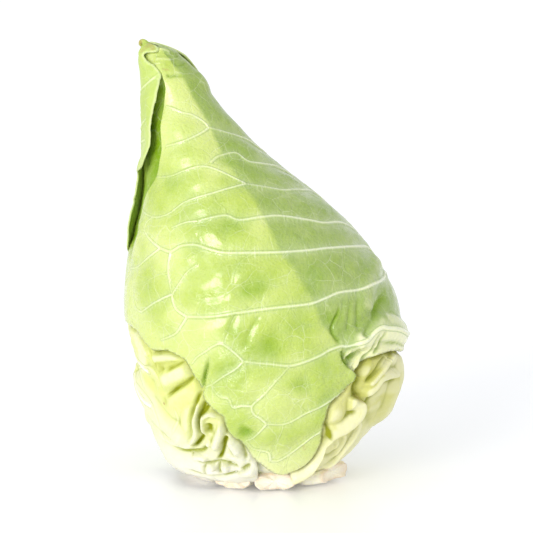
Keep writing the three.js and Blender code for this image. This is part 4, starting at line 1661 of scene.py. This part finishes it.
@dataclass(frozen=True)
class LeafFinish:
    """The look of one leaf: its colours, its veins and its shine.

    pale_below and green_above are the heights, in metres, between which the stalk's pale colour gives way.
    crests is how strongly crests and pale patches take the pale colour, as painted highlight and pale tissue.
    """

    name: str
    body: str
    bright: str
    dull: str
    deep: str
    pale: str
    vein: str
    brown: str = "a98d55"
    pale_below: float = 0.0
    green_above: float = 0.03
    patchiness: float = 0.6
    crests: float = 0.0
    net: float = 0.3
    net_scale: float = 150.0
    hairs: float = 0.5
    flecks: float = 0.0
    roughness: float = 0.42
    coat: float = 0.12
    wrinkle: float = 0.35

    def material(self, effects: SharedEffects) -> Material:
        """Builds the material.

        Args:
            effects: the shared shader groups.

        Returns:
            The material.
        """
        material = bpy.data.materials.new(self.name)
        n = cleared(material)
        inputs = {name.capitalize(): hexed(getattr(self, name)) for name in TINTS}
        inputs |= {"Pale below": self.pale_below, "Green above": self.green_above}
        inputs |= {"Patchiness": self.patchiness, "Crests": self.crests}
        tint = n.add("ShaderNodeGroup", inputs, node_tree=effects.tint)
        net = n.add("ShaderNodeGroup", {"Mesh per metre": self.net_scale}, node_tree=effects.net)
        hairs = n.out("ShaderNodeGroup", node_tree=effects.streaks)
        vein = hexed(self.vein)
        lines = n.times(net.outputs["Net"], self.net)
        lines = n.plus(lines, n.times(net.outputs["Fine"], self.net * 0.3), clamp=True)
        colour = n.blend(lines, tint.outputs[0], vein)
        halo = n.times(n.mask("near"), 0.42)
        halo = n.plus(halo, n.times(hairs, self.hairs), clamp=True)
        colour = n.blend(halo, colour, vein)
        colour = n.blend(n.ramp(n.mask("vein"), 0.3, 0.9, 0.0, 0.85), colour, vein)
        colour = n.blend(n.times(n.mask("rim"), 0.4), colour, vein)
        inputs = {"Colour": colour, "Brown": hexed(self.brown), "Flecks": self.flecks}
        browned = n.add("ShaderNodeGroup", inputs, node_tree=effects.browning)
        place = n.place()
        wrinkle = n.noise(place, 190.0, 6.0, 0.62)
        grain = n.times(n.noise(place, 700.0, 4.0), 1.1 * self.wrinkle)
        relief = n.plus(n.times(wrinkle, self.wrinkle), n.times(lines, -0.5))
        relief = n.plus(relief, grain)
        relief = n.plus(relief, n.times(hairs, 0.35))
        bump = n.add("ShaderNodeBump", {"Strength": 0.8, "Distance": 0.0009, "Height": relief})
        dullness = n.times(n.mask("bloom_and_shade"), 0.12)
        rough = n.ramp(n.noise(place, 45.0), 0.3, 0.7, self.roughness - 0.07, self.roughness + 0.1)
        rough = n.plus(rough, dullness)
        rough = n.plus(rough, n.times(n.mask("hollow_shade"), 0.25, clamp=True))
        coat = n.ramp(n.mask("hollow_shade"), 0.1, 0.7, self.coat, 0.0)
        coat = n.times(coat, n.ramp(n.noise(place, 260.0, 4.0, 0.65), 0.34, 0.56, 0.3, 1.2), clamp=True)
        surface = {
            "Base Color": browned.outputs["Colour"],
            "Roughness": rough,
            "Normal": bump.outputs[0],
            "Coat Weight": coat,
            "Coat Roughness": 0.18,
            "Subsurface Weight": 0.18,
            "Subsurface Radius": (1.0, 0.9, 0.25),
            "Subsurface Scale": 0.0018,
            "IOR": 1.42,
        }
        shader = n.add("ShaderNodeBsdfPrincipled", surface)
        n.add("ShaderNodeOutputMaterial", {"Surface": shader.outputs[0]})
        return material


FRONT_FINISH = LeafFinish(
    "front_wrapper_skin", "afc44c", "d0db82", "90a944", "7ea200", "f4f4c0", "eef2d0",
    green_above=0.034, patchiness=0.8, crests=0.9, net=0.24, net_scale=105.0, hairs=0.55, roughness=0.3,
    coat=0.8, wrinkle=0.8,
)
LEFT_FINISH = LeafFinish(
    "left_wrapper_skin", "afc458", "c0d270", "b2c46c", "86ab18", "dde2b4", "e8edc6",
    green_above=0.09, net=0.22, net_scale=110.0, hairs=0.4, roughness=0.42,
)
LOWER_LEFT_FINISH = LeafFinish(
    "lower_left_skin", "d2d874", "dfe398", "d0d68a", "98a00c", "e6e4d4", "f1f0e2",
    green_above=0.06, patchiness=0.4, crests=0.5, net=0.06, hairs=0.15, flecks=0.12,
    roughness=0.36, coat=0.2,
)
LOWER_RIGHT_FINISH = LeafFinish(
    "lower_right_skin", "c8c86a", "d8d78c", "c0c472", "8f9410", "eeebc2", "f0f0d0",
    green_above=0.06, patchiness=0.4, crests=0.7, net=0.08, hairs=0.25, flecks=0.1, roughness=0.42,
)
BACK_FINISH = LeafFinish(
    "back_leaf_skin", "c2d777", "d0e28a", "b8cc82", "93b845", "eeefd6", "f1f2dc",
    green_above=0.1, net=0.12, hairs=0.35,
)
INNER_FINISH = LeafFinish(
    "inner_leaf_skin", "dce4a0", "e8ecb8", "d6dea4", "b0bf45", "efefd8", "f0f1d8",
    green_above=0.09, net=0.1, hairs=0.2,
)
HEART_FINISH = LeafFinish(
    "heart_skin", "dae498", "e6ebb0", "d5df9a", "afc24e", "eeeed2", "eeefd2",
    green_above=0.08, net=0.1, hairs=0.2,
)
STEM_FINISH = LeafFinish(
    "stem_skin", "e8e2cb", "efebdb", "e4ddc5", "cdbb87", "ede8d5", "e2dbb6", brown="b88f5c",
    green_above=0.03, patchiness=0.7, net=0.1, net_scale=300.0, hairs=0.0, flecks=0.5,
    roughness=0.55, coat=0.0, wrinkle=0.6,
)
STUB_FINISH = LeafFinish(
    "leaf_stub_skin", "fdf4de", "fffaea", "f8ecd2", "efdcae", "fffae8", "fdf8e2", brown="d2a070",
    green_above=0.012, patchiness=0.6, net=0.08, net_scale=220.0, hairs=0.0, flecks=0.08,
    roughness=0.45, coat=0.1, wrinkle=0.6,
)


class SkinNodes:
    """Geometry nodes that work on a piece's skin and then set its material. Each kind adds its own nodes."""

    NAME = ""
    INPUTS: dict[str, str] = {}

    def __init__(self) -> None:
        """Builds the tree, from the skin to the dressed skin."""
        self.tree = bpy.data.node_groups.new(self.NAME, "GeometryNodeTree")
        sockets = {"Skin": "NodeSocketGeometry", **self.INPUTS, "Finish": "NodeSocketMaterial"}
        for label, kind in sockets.items():
            self.tree.interface.new_socket(label, in_out="INPUT", socket_type=kind)
        self.tree.interface.new_socket("Skin", in_out="OUTPUT", socket_type="NodeSocketGeometry")
        n = Nodes(self.tree)
        given = n.add("NodeGroupInput").outputs
        real = n.out("GeometryNodeRealizeInstances", {"Geometry": self.worked(n, given)})
        dressed = n.out("GeometryNodeSetMaterial", {"Geometry": real, "Material": given["Finish"]})
        n.add("NodeGroupOutput", {0: dressed})

    def worked(self, n: Nodes, given: Sockets) -> Socket:
        """Adds this kind's own nodes and gives the worked skin."""
        raise NotImplementedError

    def apply(self, piece: Piece, finish: Material, **values: float) -> None:
        """Runs the nodes on a piece and leaves it a plain mesh.

        Args:
            piece: the piece to change.
            finish: its material.
            values: the tree's own inputs by name.
        """
        modifier = piece.modifiers.new("make", "NODES")
        modifier.node_group = self.tree
        settings = {**values, "Finish": finish}
        for item in self.tree.interface.items_tree:
            if item.item_type == "SOCKET" and item.in_out == "INPUT" and item.name in settings:
                modifier[item.identifier] = settings[item.name]
        graph = bpy.context.evaluated_depsgraph_get()
        evaluated = piece.evaluated_get(graph)
        mesh = bpy.data.meshes.new_from_object(evaluated, preserve_all_data_layers=True, depsgraph=graph)
        piece.modifiers.clear()
        mesh.name = piece.name
        old = piece.data
        piece.data = mesh
        bpy.data.meshes.remove(old)


class Puckering(SkinNodes):
    """Puckers a skin: every corner moves along its leaf's outward direction, after a noise with a set seed.

    Depth is how far a corner may move and Across the size of a pucker, both in metres.
    """

    NAME = "pucker"
    INPUTS = {"Depth": "NodeSocketFloat", "Across": "NodeSocketFloat", "Seed": "NodeSocketFloat"}

    def worked(self, n: Nodes, given: Sockets) -> Socket:
        """Moves the corners."""
        place = n.out("GeometryNodeInputPosition")
        size = n.math("DIVIDE", 1.0, given["Across"])
        inputs = {"Vector": place, "W": given["Seed"], "Scale": size, "Detail": 2.0}
        noise = n.out("ShaderNodeTexNoise", inputs, noise_dimensions="4D")
        swing = n.times(n.math("SUBTRACT", noise, 0.5), n.times(given["Depth"], 2.0))
        inputs = {"Name": "outward"}
        outward = n.out("GeometryNodeInputNamedAttribute", inputs, data_type="FLOAT_VECTOR")
        move = n.vector("SCALE", {0: outward, "Scale": swing})
        return n.out("GeometryNodeSetPosition", {"Geometry": given["Skin"], "Offset": move})


class Fibres(SkinNodes):
    """Sets small fibre ends on a cut face, one at each marked corner. Dot is their radius, in metres."""

    NAME = "fibre ends"
    INPUTS = {"Dot": "NodeSocketFloat", "Seed": "NodeSocketInt"}

    def worked(self, n: Nodes, given: Sockets) -> Socket:
        """Adds the fibre ends, stained and of several sizes."""
        marked = n.out("GeometryNodeInputNamedAttribute", {"Name": "fibre"}, data_type="FLOAT")
        chosen = n.out("FunctionNodeCompare", {0: marked, 1: 0.5}, operation="GREATER_THAN")
        spots = n.out("GeometryNodeMeshToPoints", {"Mesh": given["Skin"], "Selection": chosen})
        dot = n.out("GeometryNodeMeshIcoSphere", {"Radius": given["Dot"], "Subdivisions": 1})
        smooth = n.out("GeometryNodeSetShadeSmooth", {"Geometry": dot})
        inputs = {"Geometry": smooth, "Name": "spot", "Value": 0.6}
        stained = n.out("GeometryNodeStoreNamedAttribute", inputs, data_type="FLOAT")
        inputs = {2: 0.6, 3: 1.3, "Seed": given["Seed"]}
        size = n.add("FunctionNodeRandomValue", inputs, data_type="FLOAT").outputs[1]
        inputs = {"Points": spots, "Instance": stained, "Scale": size}
        placed = n.out("GeometryNodeInstanceOnPoints", inputs)
        joined = n.add("GeometryNodeJoinGeometry")
        self.tree.links.new(placed, joined.inputs[0])
        self.tree.links.new(given["Skin"], joined.inputs[0])
        return joined.outputs[0]


@dataclass
class Workshop:
    """What every sub-assembly is made with: the shared shader groups and the geometry nodes."""

    effects: SharedEffects = field(default_factory=SharedEffects)
    puckering: Puckering = field(default_factory=Puckering)
    fibres: Fibres = field(default_factory=Fibres)

    def fit(self, piece: Piece, slot: Slot, node: str = "") -> Piece:
        """Ties a finished piece to the model.

        Args:
            piece: the piece.
            slot: not used.
            node: the node that it stands for, if it stands for one.

        Returns:
            The piece.
        """
        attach(piece, BODY)
        if node:
            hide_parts(node)
        triangles = sum(len(face.vertices) - 2 for face in piece.data.polygons)
        log.info("%s stands for %s: %d triangles", piece.name, node or "no node", triangles)
        return piece


@dataclass
class LeafJob:
    """One leaf to make: its name, the node it stands for, its shape, finish and puckers."""

    name: str
    node: str
    slot: Slot
    sheet: LeafSheet
    finish: LeafFinish
    pucker: float = 0.0006
    across: float = 0.016
    seed: int = 1


@dataclass
class Leaves:
    """The wrapper leaves and the crumpled leaves under them."""

    workshop: Workshop

    def build(self) -> list[Piece]:
        """Builds and dresses all leaves.

        Returns:
            The pieces.
        """
        return [self._made(job) for job in self.jobs()]

    @staticmethod
    def jobs() -> list[LeafJob]:
        """Lists the leaves from the outside in."""
        wrapper = front_wrapper()
        cover = wrapper.margin
        return [
            LeafJob("wrapper_leaf_front", "front_wrapper_leaf", Slot.FRONT, wrapper, FRONT_FINISH, seed=2),
            LeafJob("wrapper_leaf_left", "left_wrapper_leaf", Slot.LEFT, left_wrapper(), LEFT_FINISH, seed=3),
            LeafJob("crumpled_leaf_left", "lower_left_leaf", Slot.LOWER_LEFT, lower_left(cover),
                    LOWER_LEFT_FINISH, 0.0009, 0.009, 4),
            LeafJob("crumpled_leaf_right", "lower_right_leaf", Slot.LOWER_RIGHT, lower_right(cover),
                    LOWER_RIGHT_FINISH, 0.0009, 0.010, 5),
            LeafJob("leaf_back", "back_leaf", Slot.BACK, back_leaf(), BACK_FINISH, 0.0008, 0.014, 6),
            LeafJob("leaf_inner_front", "front_inner_leaf", Slot.INNER, inner_leaf(), INNER_FINISH, seed=7),
        ]

    def _made(self, job: LeafJob) -> Piece:
        """Makes one leaf."""
        piece = job.sheet.skin().as_object(job.name)
        material = job.finish.material(self.workshop.effects)
        puckers = {"Depth": job.pucker, "Across": job.across, "Seed": float(job.seed)}
        self.workshop.puckering.apply(piece, material, **puckers)
        return self.workshop.fit(piece, job.slot, job.node)


class RingPart:
    """What the heart, the curl, the stem and the stubs share: a skin made of rings, closed at both ends."""

    @staticmethod
    def closed(
        rings: Array, values: dict[str, Array], name: str, outward: Array | None = None, peak: float = 0.0
    ) -> Piece:
        """Joins rings into a closed skin.

        Args:
            rings: corners in millimetres by ring and place, anticlockwise as seen from the last ring.
            values: masks by ring and place.
            name: the piece's name.
            outward: the outward directions, where they don't simply lead away from the middle.
            peak: how far the last ring's middle stands up.

        Returns:
            The piece, without a material.
        """
        count, around = rings.shape[:2]
        ends = [rings[0].mean(0), rings[-1].mean(0) + (0, 0, peak)]
        corners = np.concatenate((rings.reshape(-1, 3), ends))
        faces = []
        for ring in range(count - 1):
            for place in range(around):
                beside = (place + 1) % around
                low, high = ring * around, (ring + 1) * around
                faces.append([low + place, low + beside, high + beside, high + place])
        first, last = count * around, count * around + 1
        for place in range(around):
            beside, high = (place + 1) % around, (count - 1) * around
            faces.append([beside, place, first])
            faces.append([high + place, high + beside, last])
        blank = np.zeros(count * around)
        flat = {label: np.append(values.get(label, blank), (0, 0)) for label in (*MASKS, "fibre")}
        if outward is None:
            outward = unit(corners - rings.mean((0, 1)))
        return Skin(corners, faces, flat, outward).as_object(name)

    @staticmethod
    def grounded(piece: Piece) -> None:
        """Keeps every corner above the floor."""
        for vertex in piece.data.vertices:
            vertex.co.z = max(vertex.co.z, 0.0)


@dataclass
class Heart(RingPart):
    """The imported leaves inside, made as one closed body with the edges of its outermost leaves in relief."""

    workshop: Workshop
    layers: float = 3.1
    foot: float = 11.0
    tip: float = 205.0
    peak: float = 2.0
    columns: int = 170
    rows: int = 110

    def build(self) -> Piece:
        """Builds and dresses the heart.

        Returns:
            The piece.
        """
        angles = np.arange(self.columns) * 360 / self.columns - 180
        reaches = np.linspace(*FORM.reach_at(np.array([self.foot, self.tip])), self.rows)
        angle, reach = [part.ravel() for part in np.meshgrid(angles, reaches)]
        points, normals = FORM.point(angle, reach), FORM.normal(angle, reach)
        worked = self._relief().work(points, normals)
        skin = points - normals * (self.layers * LAYER + worked.drop)[:, None] + worked.move
        skin[:, 2] = np.maximum(skin[:, 2], self.foot)
        values = {name: getattr(worked, name) for name in ("vein", "near", "along", "hollow_shade", "crest")}
        outward = np.concatenate((normals, [(0, 0, -1), (0, 0, 1)]))
        rings = skin.reshape(self.rows, self.columns, 3)
        piece = self.closed(rings, values, "heart_leaves", outward, self.peak)
        material = HEART_FINISH.material(self.workshop.effects)
        self.workshop.puckering.apply(piece, material, Depth=0.0006, Across=0.014, Seed=8.0)
        return self.workshop.fit(piece, Slot.HEART, "heart")

    @staticmethod
    def _relief() -> Relief:
        """Describes the leaf edges and veins of the heart's outermost leaves."""
        edges = (
            ((-176, 20), (-150, 60), (-120, 110), (-96, 160), (-80, 196)),
            ((-60, 20), (-30, 60), (-4, 110), (24, 160), (40, 196)),
            ((60, 20), (90, 60), (116, 110), (140, 160), (150, 196)),
        )
        # Each step lowers the heart beside a leaf edge and paints shade there.
        steps = tuple(Step(route, 1.4, 2.4, 22) for route in edges)
        veins: tuple[Vein, ...] = ()
        for rib in (-130, -10, 110):
            veins += (Vein(((rib, 14), (rib + 4, 70), (rib + 10, 130), (rib + 22, 180)), 3.0, 1.2, 0.6, 6),)
            veins += pinnate(rib + 3, 1, (30, 56, 82, 108), 40, 24)
            veins += pinnate(rib + 3, -1, (42, 68, 94), 36, 24)
        return Relief((), (), veins, steps, quilt=0.8)


@dataclass
class TipCurl(RingPart):
    """The small dried curl that ends the outermost leaf at the tip of the head."""

    workshop: Workshop
    around: int = 28
    wrinkles: int = 5
    wrinkle: float = 0.14
    twist: float = 0.08
    # Places from inside the tip to the curl's end, with the half width there.
    path: tuple[tuple[float, float, float, float], ...] = (
        (-57.0, 1.0, 212.0, 2.6),
        (-58.3, 0.2, 215.2, 2.7),
        (-59.4, -0.8, 217.2, 2.0),
        (-60.2, -1.5, 218.6, 1.3),
        (-61.2, -1.6, 219.2, 0.9),
        (-62.0, -1.3, 218.6, 0.85),
        (-62.1, -0.9, 217.6, 0.8),
        (-61.4, -0.7, 216.9, 0.6),
        (-60.8, -0.8, 217.1, 0.35),
    )

    def build(self) -> Piece:
        """Builds and dresses the curl.

        Returns:
            The piece.
        """
        knots = np.array(self.path)
        line = smooth_curve(knots, np.linspace(0, 1, 6 * len(knots)))
        ahead = np.gradient(line[:, :3], axis=0)
        side = unit(np.cross(ahead, (0.1, 1.0, 0.0)))
        level = unit(np.cross(ahead, side))
        turn = np.arange(self.around) * 2 * math.pi / self.around
        turned = self.wrinkles * turn + self.twist * np.arange(len(line))[:, None]
        wide = line[:, 3:4] * (1 + self.wrinkle * np.cos(turned))
        rings = line[:, None, :3] + (wide * np.cos(turn))[..., None] * side[:, None]
        rings += (0.8 * wide * np.sin(turn))[..., None] * level[:, None]
        share = np.linspace(0, 1, len(line))[:, None] + 0 * wide
        values = {"spot": 0.8 * ease((share - 0.35) / 0.3), "crest": ease((wide / line[:, 3:4] - 1) / 0.1)}
        piece = self.closed(rings, values, "tip_curl")
        piece.data.materials.append(LEFT_FINISH.material(self.workshop.effects))
        return self.workshop.fit(piece, Slot.LEFT)


@dataclass
class Stem(RingPart):
    """The stump in the middle, cut flat at the foot."""

    workshop: Workshop
    around: int = 112
    bundles: int = 28
    inset: float = 0.6

    def build(self) -> Piece:
        """Builds and dresses the stem.

        Returns:
            The piece.
        """
        low, high = (np.array(corner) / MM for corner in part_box("stem"))
        radius, top = (high[0] - low[0]) / 2 - self.inset, high[2]
        # Shares of the radius and heights, from the hidden top to the middle of the cut face.
        profile = ((0.2, top), (0.6, top), (0.96, top), (1, top - 0.8), (1, 12), (0.98, 8), (0.97, 4))
        profile += ((0.97, 1.6), (0.96, 0.6), (0.93, 0.1), (0.9, 0), (0.84, 0), (0.8, 0.25), (0.76, 0.4))
        profile += ((0.7, 0.4), (0.62, 0.4), (0.52, 0.5), (0.4, 0.7), (0.25, 0.9), (0.1, 1))
        side, bundle, rim, pith = slice(4, 8), 14, slice(9, 12), slice(17, None)  # rows of the profile
        turn = np.arange(self.around) * 2 * math.pi / self.around
        wave = 1 + 0.025 * np.cos(3 * turn + 0.7) + 0.015 * np.cos(7 * turn + 2.0) + 0.008 * np.cos(17 * turn)
        shares, heights = np.array(profile).T
        across = shares[:, None] * radius / wave.max() * wave
        level = np.broadcast_to(heights[:, None], across.shape).copy()
        level[side] += 0.5 * np.sin(9 * turn)
        rings = np.stack((across * np.cos(-turn), across * np.sin(-turn), np.maximum(level, 0)), -1)
        fibre = np.zeros(across.shape)
        fibre[bundle, :: self.around // self.bundles] = 1
        spot = np.zeros(across.shape)
        spot[rim] = 0.5
        spot[pith] = 0.3
        values = {"fibre": fibre, "spot": spot}
        piece = self.closed(rings, values, "stem_stump")
        material = STEM_FINISH.material(self.workshop.effects)
        self.workshop.fibres.apply(piece, material, Dot=0.0004, Seed=11)
        self.grounded(piece)
        return self.workshop.fit(piece, Slot.STEM, "stem")


@dataclass(frozen=True)
class StubSize:
    """One leaf stub: the node it stands for, its width in degrees and its height."""

    node: str
    width: float
    height: float


@dataclass
class LeafStubs(RingPart):
    """The stubs of cut-off outer leaves round the stem. They turn by the golden angle, as leaves do."""

    workshop: Workshop
    first_angle: float = -84.0
    root: float = 11.0
    reach: float = 41.0
    curl: float = 2.5
    ragged: float = 1.5  # what its broken end may add to its reach, mm
    gap: float = 1.5  # degrees left free at each side
    widest: float = 16.5
    ribs: int = 5
    rib_height: float = 0.35
    seed: int = 20
    rows: int = 40
    around: int = 72
    sizes: tuple[StubSize, ...] = (
        StubSize("leaf_stub_front", 31, 8.4),
        StubSize("leaf_stub_back_right", 54, 8.4),
        StubSize("leaf_stub_left", 56, 6.2),
        StubSize("leaf_stub_right", 56, 8.4),
        StubSize("leaf_stub_back", 42, 6.2),
        StubSize("leaf_stub_front_left", 31, 8.4),
    )

    def build(self) -> list[Piece]:
        """Builds and dresses every stub.

        Returns:
            The pieces.
        """
        material = STUB_FINISH.material(self.workshop.effects)
        return [self._stub(number, size, material) for number, size in enumerate(self.sizes)]

    def _stub(self, number: int, size: StubSize, material: Material) -> Piece:
        """Makes one stub: a broad stalk base, ribbed beneath, broken off at its curled outer end."""
        dice = np.random.default_rng(self.seed + number)
        turn = np.arange(self.around) * 2 * math.pi / self.around
        side, up = np.cos(turn), np.sin(turn)
        side, up = np.sign(side) * np.abs(side) ** 0.75, np.sign(up) * np.abs(up) ** 0.7
        half = math.tan(math.radians(size.width / 2 - self.gap))
        ribs = self.rib_height * np.cos(math.pi * self.ribs * side + dice.random() * 6) * (up < 0.3)
        waves = ((1.2, 1.3), (3.1, 0.7))
        broken = sum(share * np.cos(count * side * math.pi + dice.random() * 6) for count, share in waves)
        rings, spots = [], []
        for step in range(self.rows):
            share = step / (self.rows - 1)
            distance = self.root + (self.reach - self.ragged - self.root) * share + broken * share**3
            width = np.minimum(distance * half, self.widest - 3 * share**2)
            thick = (size.height + 1.5 * share) * (1 - 0.3 * ease(np.array(share * 9 - 8.2)))
            curl = self.curl * share**6
            swell = 1 + 0.05 * math.sin(9 * share + number)
            bottom = np.maximum(0, thick / 2 * (1 + up * swell) + ribs * share * (1 - share) * 4)
            rings.append(np.stack((distance, width * side * swell, bottom + curl), 1))
            spots.append(np.full(self.around, 0.4 * ease(np.array(share * 12 - 11))))
        end, middle = rings[-1], rings[-1].mean(0)
        for share, sink in ((0.88, 0.1), (0.7, 0.5), (0.4, 0.85), (0.2, 0.9)):
            rings.append(middle + (end - middle) * share - (sink, 0, 0))
            spots.append(np.full(self.around, 0.4 * share**2))
        shape = np.array(rings)[:, ::-1]
        angle = math.radians(self.first_angle + number * GOLDEN_ANGLE)
        along, across, height = np.moveaxis(shape, -1, 0)
        ahead = along * math.cos(angle) - across * math.sin(angle)
        aside = along * math.sin(angle) + across * math.cos(angle)
        shape = np.stack((ahead, aside, height), -1)
        values = {"spot": np.array(spots)[:, ::-1]}
        piece = self.closed(shape, values, size.node.replace("leaf_stub", "cut_stalk"))
        piece.data.materials.append(material)
        self.grounded(piece)
        return self.workshop.fit(piece, Slot.STUB, size.node)


@dataclass
class Studio:
    """A plain pale floor, a white room, soft lights and the camera."""

    aim: Vector = Vector((0, 0, 0.112))
    distance: float = 1.1
    elevation: float = 8.0
    lens: float = 148.6
    shift: float = -0.0197

    def build(self) -> None:
        """Sets up everything round the cabbage."""
        self._camera()
        self._world()
        self._floor()
        self._soft_light("key", Vector((-0.80, -0.56, 0.45)), 45, 0.3)
        self._soft_light("gleam", Vector((-0.50, -0.82, 0.22)), 25, 1.6)
        self._soft_light("fill", Vector((0.75, -0.60, 0.25)), 60, 0.22)
        bpy.context.scene.view_settings.view_transform = "Standard"

    def _camera(self) -> None:
        """Places the camera in front, a little above, looking level with the head's middle."""
        tilt = math.radians(self.elevation)
        forward = Vector((0, math.cos(tilt), -math.sin(tilt)))
        data = bpy.data.cameras.new("camera")
        data.lens = self.lens
        data.shift_y = self.shift
        camera = placed("camera", data)
        camera.location = self.aim - forward * self.distance
        camera.rotation_euler = (math.radians(90) - tilt, 0, 0)
        bpy.context.scene.camera = camera

    @staticmethod
    def _world() -> None:
        """Lights the room evenly, and shows it plain white."""
        world = bpy.data.worlds.new("white room")
        n = cleared(world)
        seen = n.add("ShaderNodeLightPath").outputs["Is Camera Ray"]
        soft = n.out("ShaderNodeBackground", {"Color": (0.97, 0.985, 1.0, 1.0), "Strength": 0.89})
        white = n.out("ShaderNodeBackground", {"Color": (1.0, 1.0, 1.0, 1.0), "Strength": 1.0})
        mixed = n.out("ShaderNodeMixShader", {0: seen, 1: soft, 2: white})
        n.add("ShaderNodeOutputWorld", {"Surface": mixed})
        bpy.context.scene.world = world

    @staticmethod
    def _floor() -> None:
        """Lays the floor."""
        half = 40.0
        mesh = bpy.data.meshes.new("floor")
        corners = [(-half, -half, 0), (half, -half, 0), (half, half, 0), (-half, half, 0)]
        mesh.from_pydata(corners, [], [(0, 1, 2, 3)])
        material = bpy.data.materials.new("pale_floor")
        n = cleared(material)
        place = n.place()
        tone = n.blend(n.noise(place, 8.0), (0.975, 0.97, 0.985, 1.0), (0.985, 0.98, 0.995, 1.0))
        rough = n.ramp(n.noise(place, 30.0), 0.3, 0.7, 0.28, 0.34)
        surface = {"Base Color": tone, "Roughness": rough, "Specular IOR Level": 0.3}
        surface |= {"Emission Color": tone, "Emission Strength": 0.085}
        shader = n.add("ShaderNodeBsdfPrincipled", surface)
        n.add("ShaderNodeOutputMaterial", {"Surface": shader.outputs[0]})
        mesh.materials.append(material)
        placed("floor", mesh)

    @staticmethod
    def _soft_light(name: str, direction: Vector, spread: float, strength: float) -> None:
        """Adds a broad far-off light, as even on the floor as on the head.

        Args:
            name: the light's name.
            direction: from the head towards the light.
            spread: how wide it looks from the head, in degrees.
            strength: its strength, in watts per square metre.
        """
        data = bpy.data.lights.new(name, "SUN")
        data.angle = math.radians(spread)
        data.energy = strength
        placed(name, data).rotation_euler = direction.to_track_quat("Z", "Y").to_euler()


def main() -> None:
    """Builds the studio and the head, from the camera to the last stub."""
    logging.basicConfig(level=logging.INFO, format="%(name)s: %(message)s")
    Studio().build()
    workshop = Workshop()
    Leaves(workshop).build()
    TipCurl(workshop).build()
    Heart(workshop).build()
    Stem(workshop).build()
    LeafStubs(workshop).build()


if __name__ == "__main__":
    main()
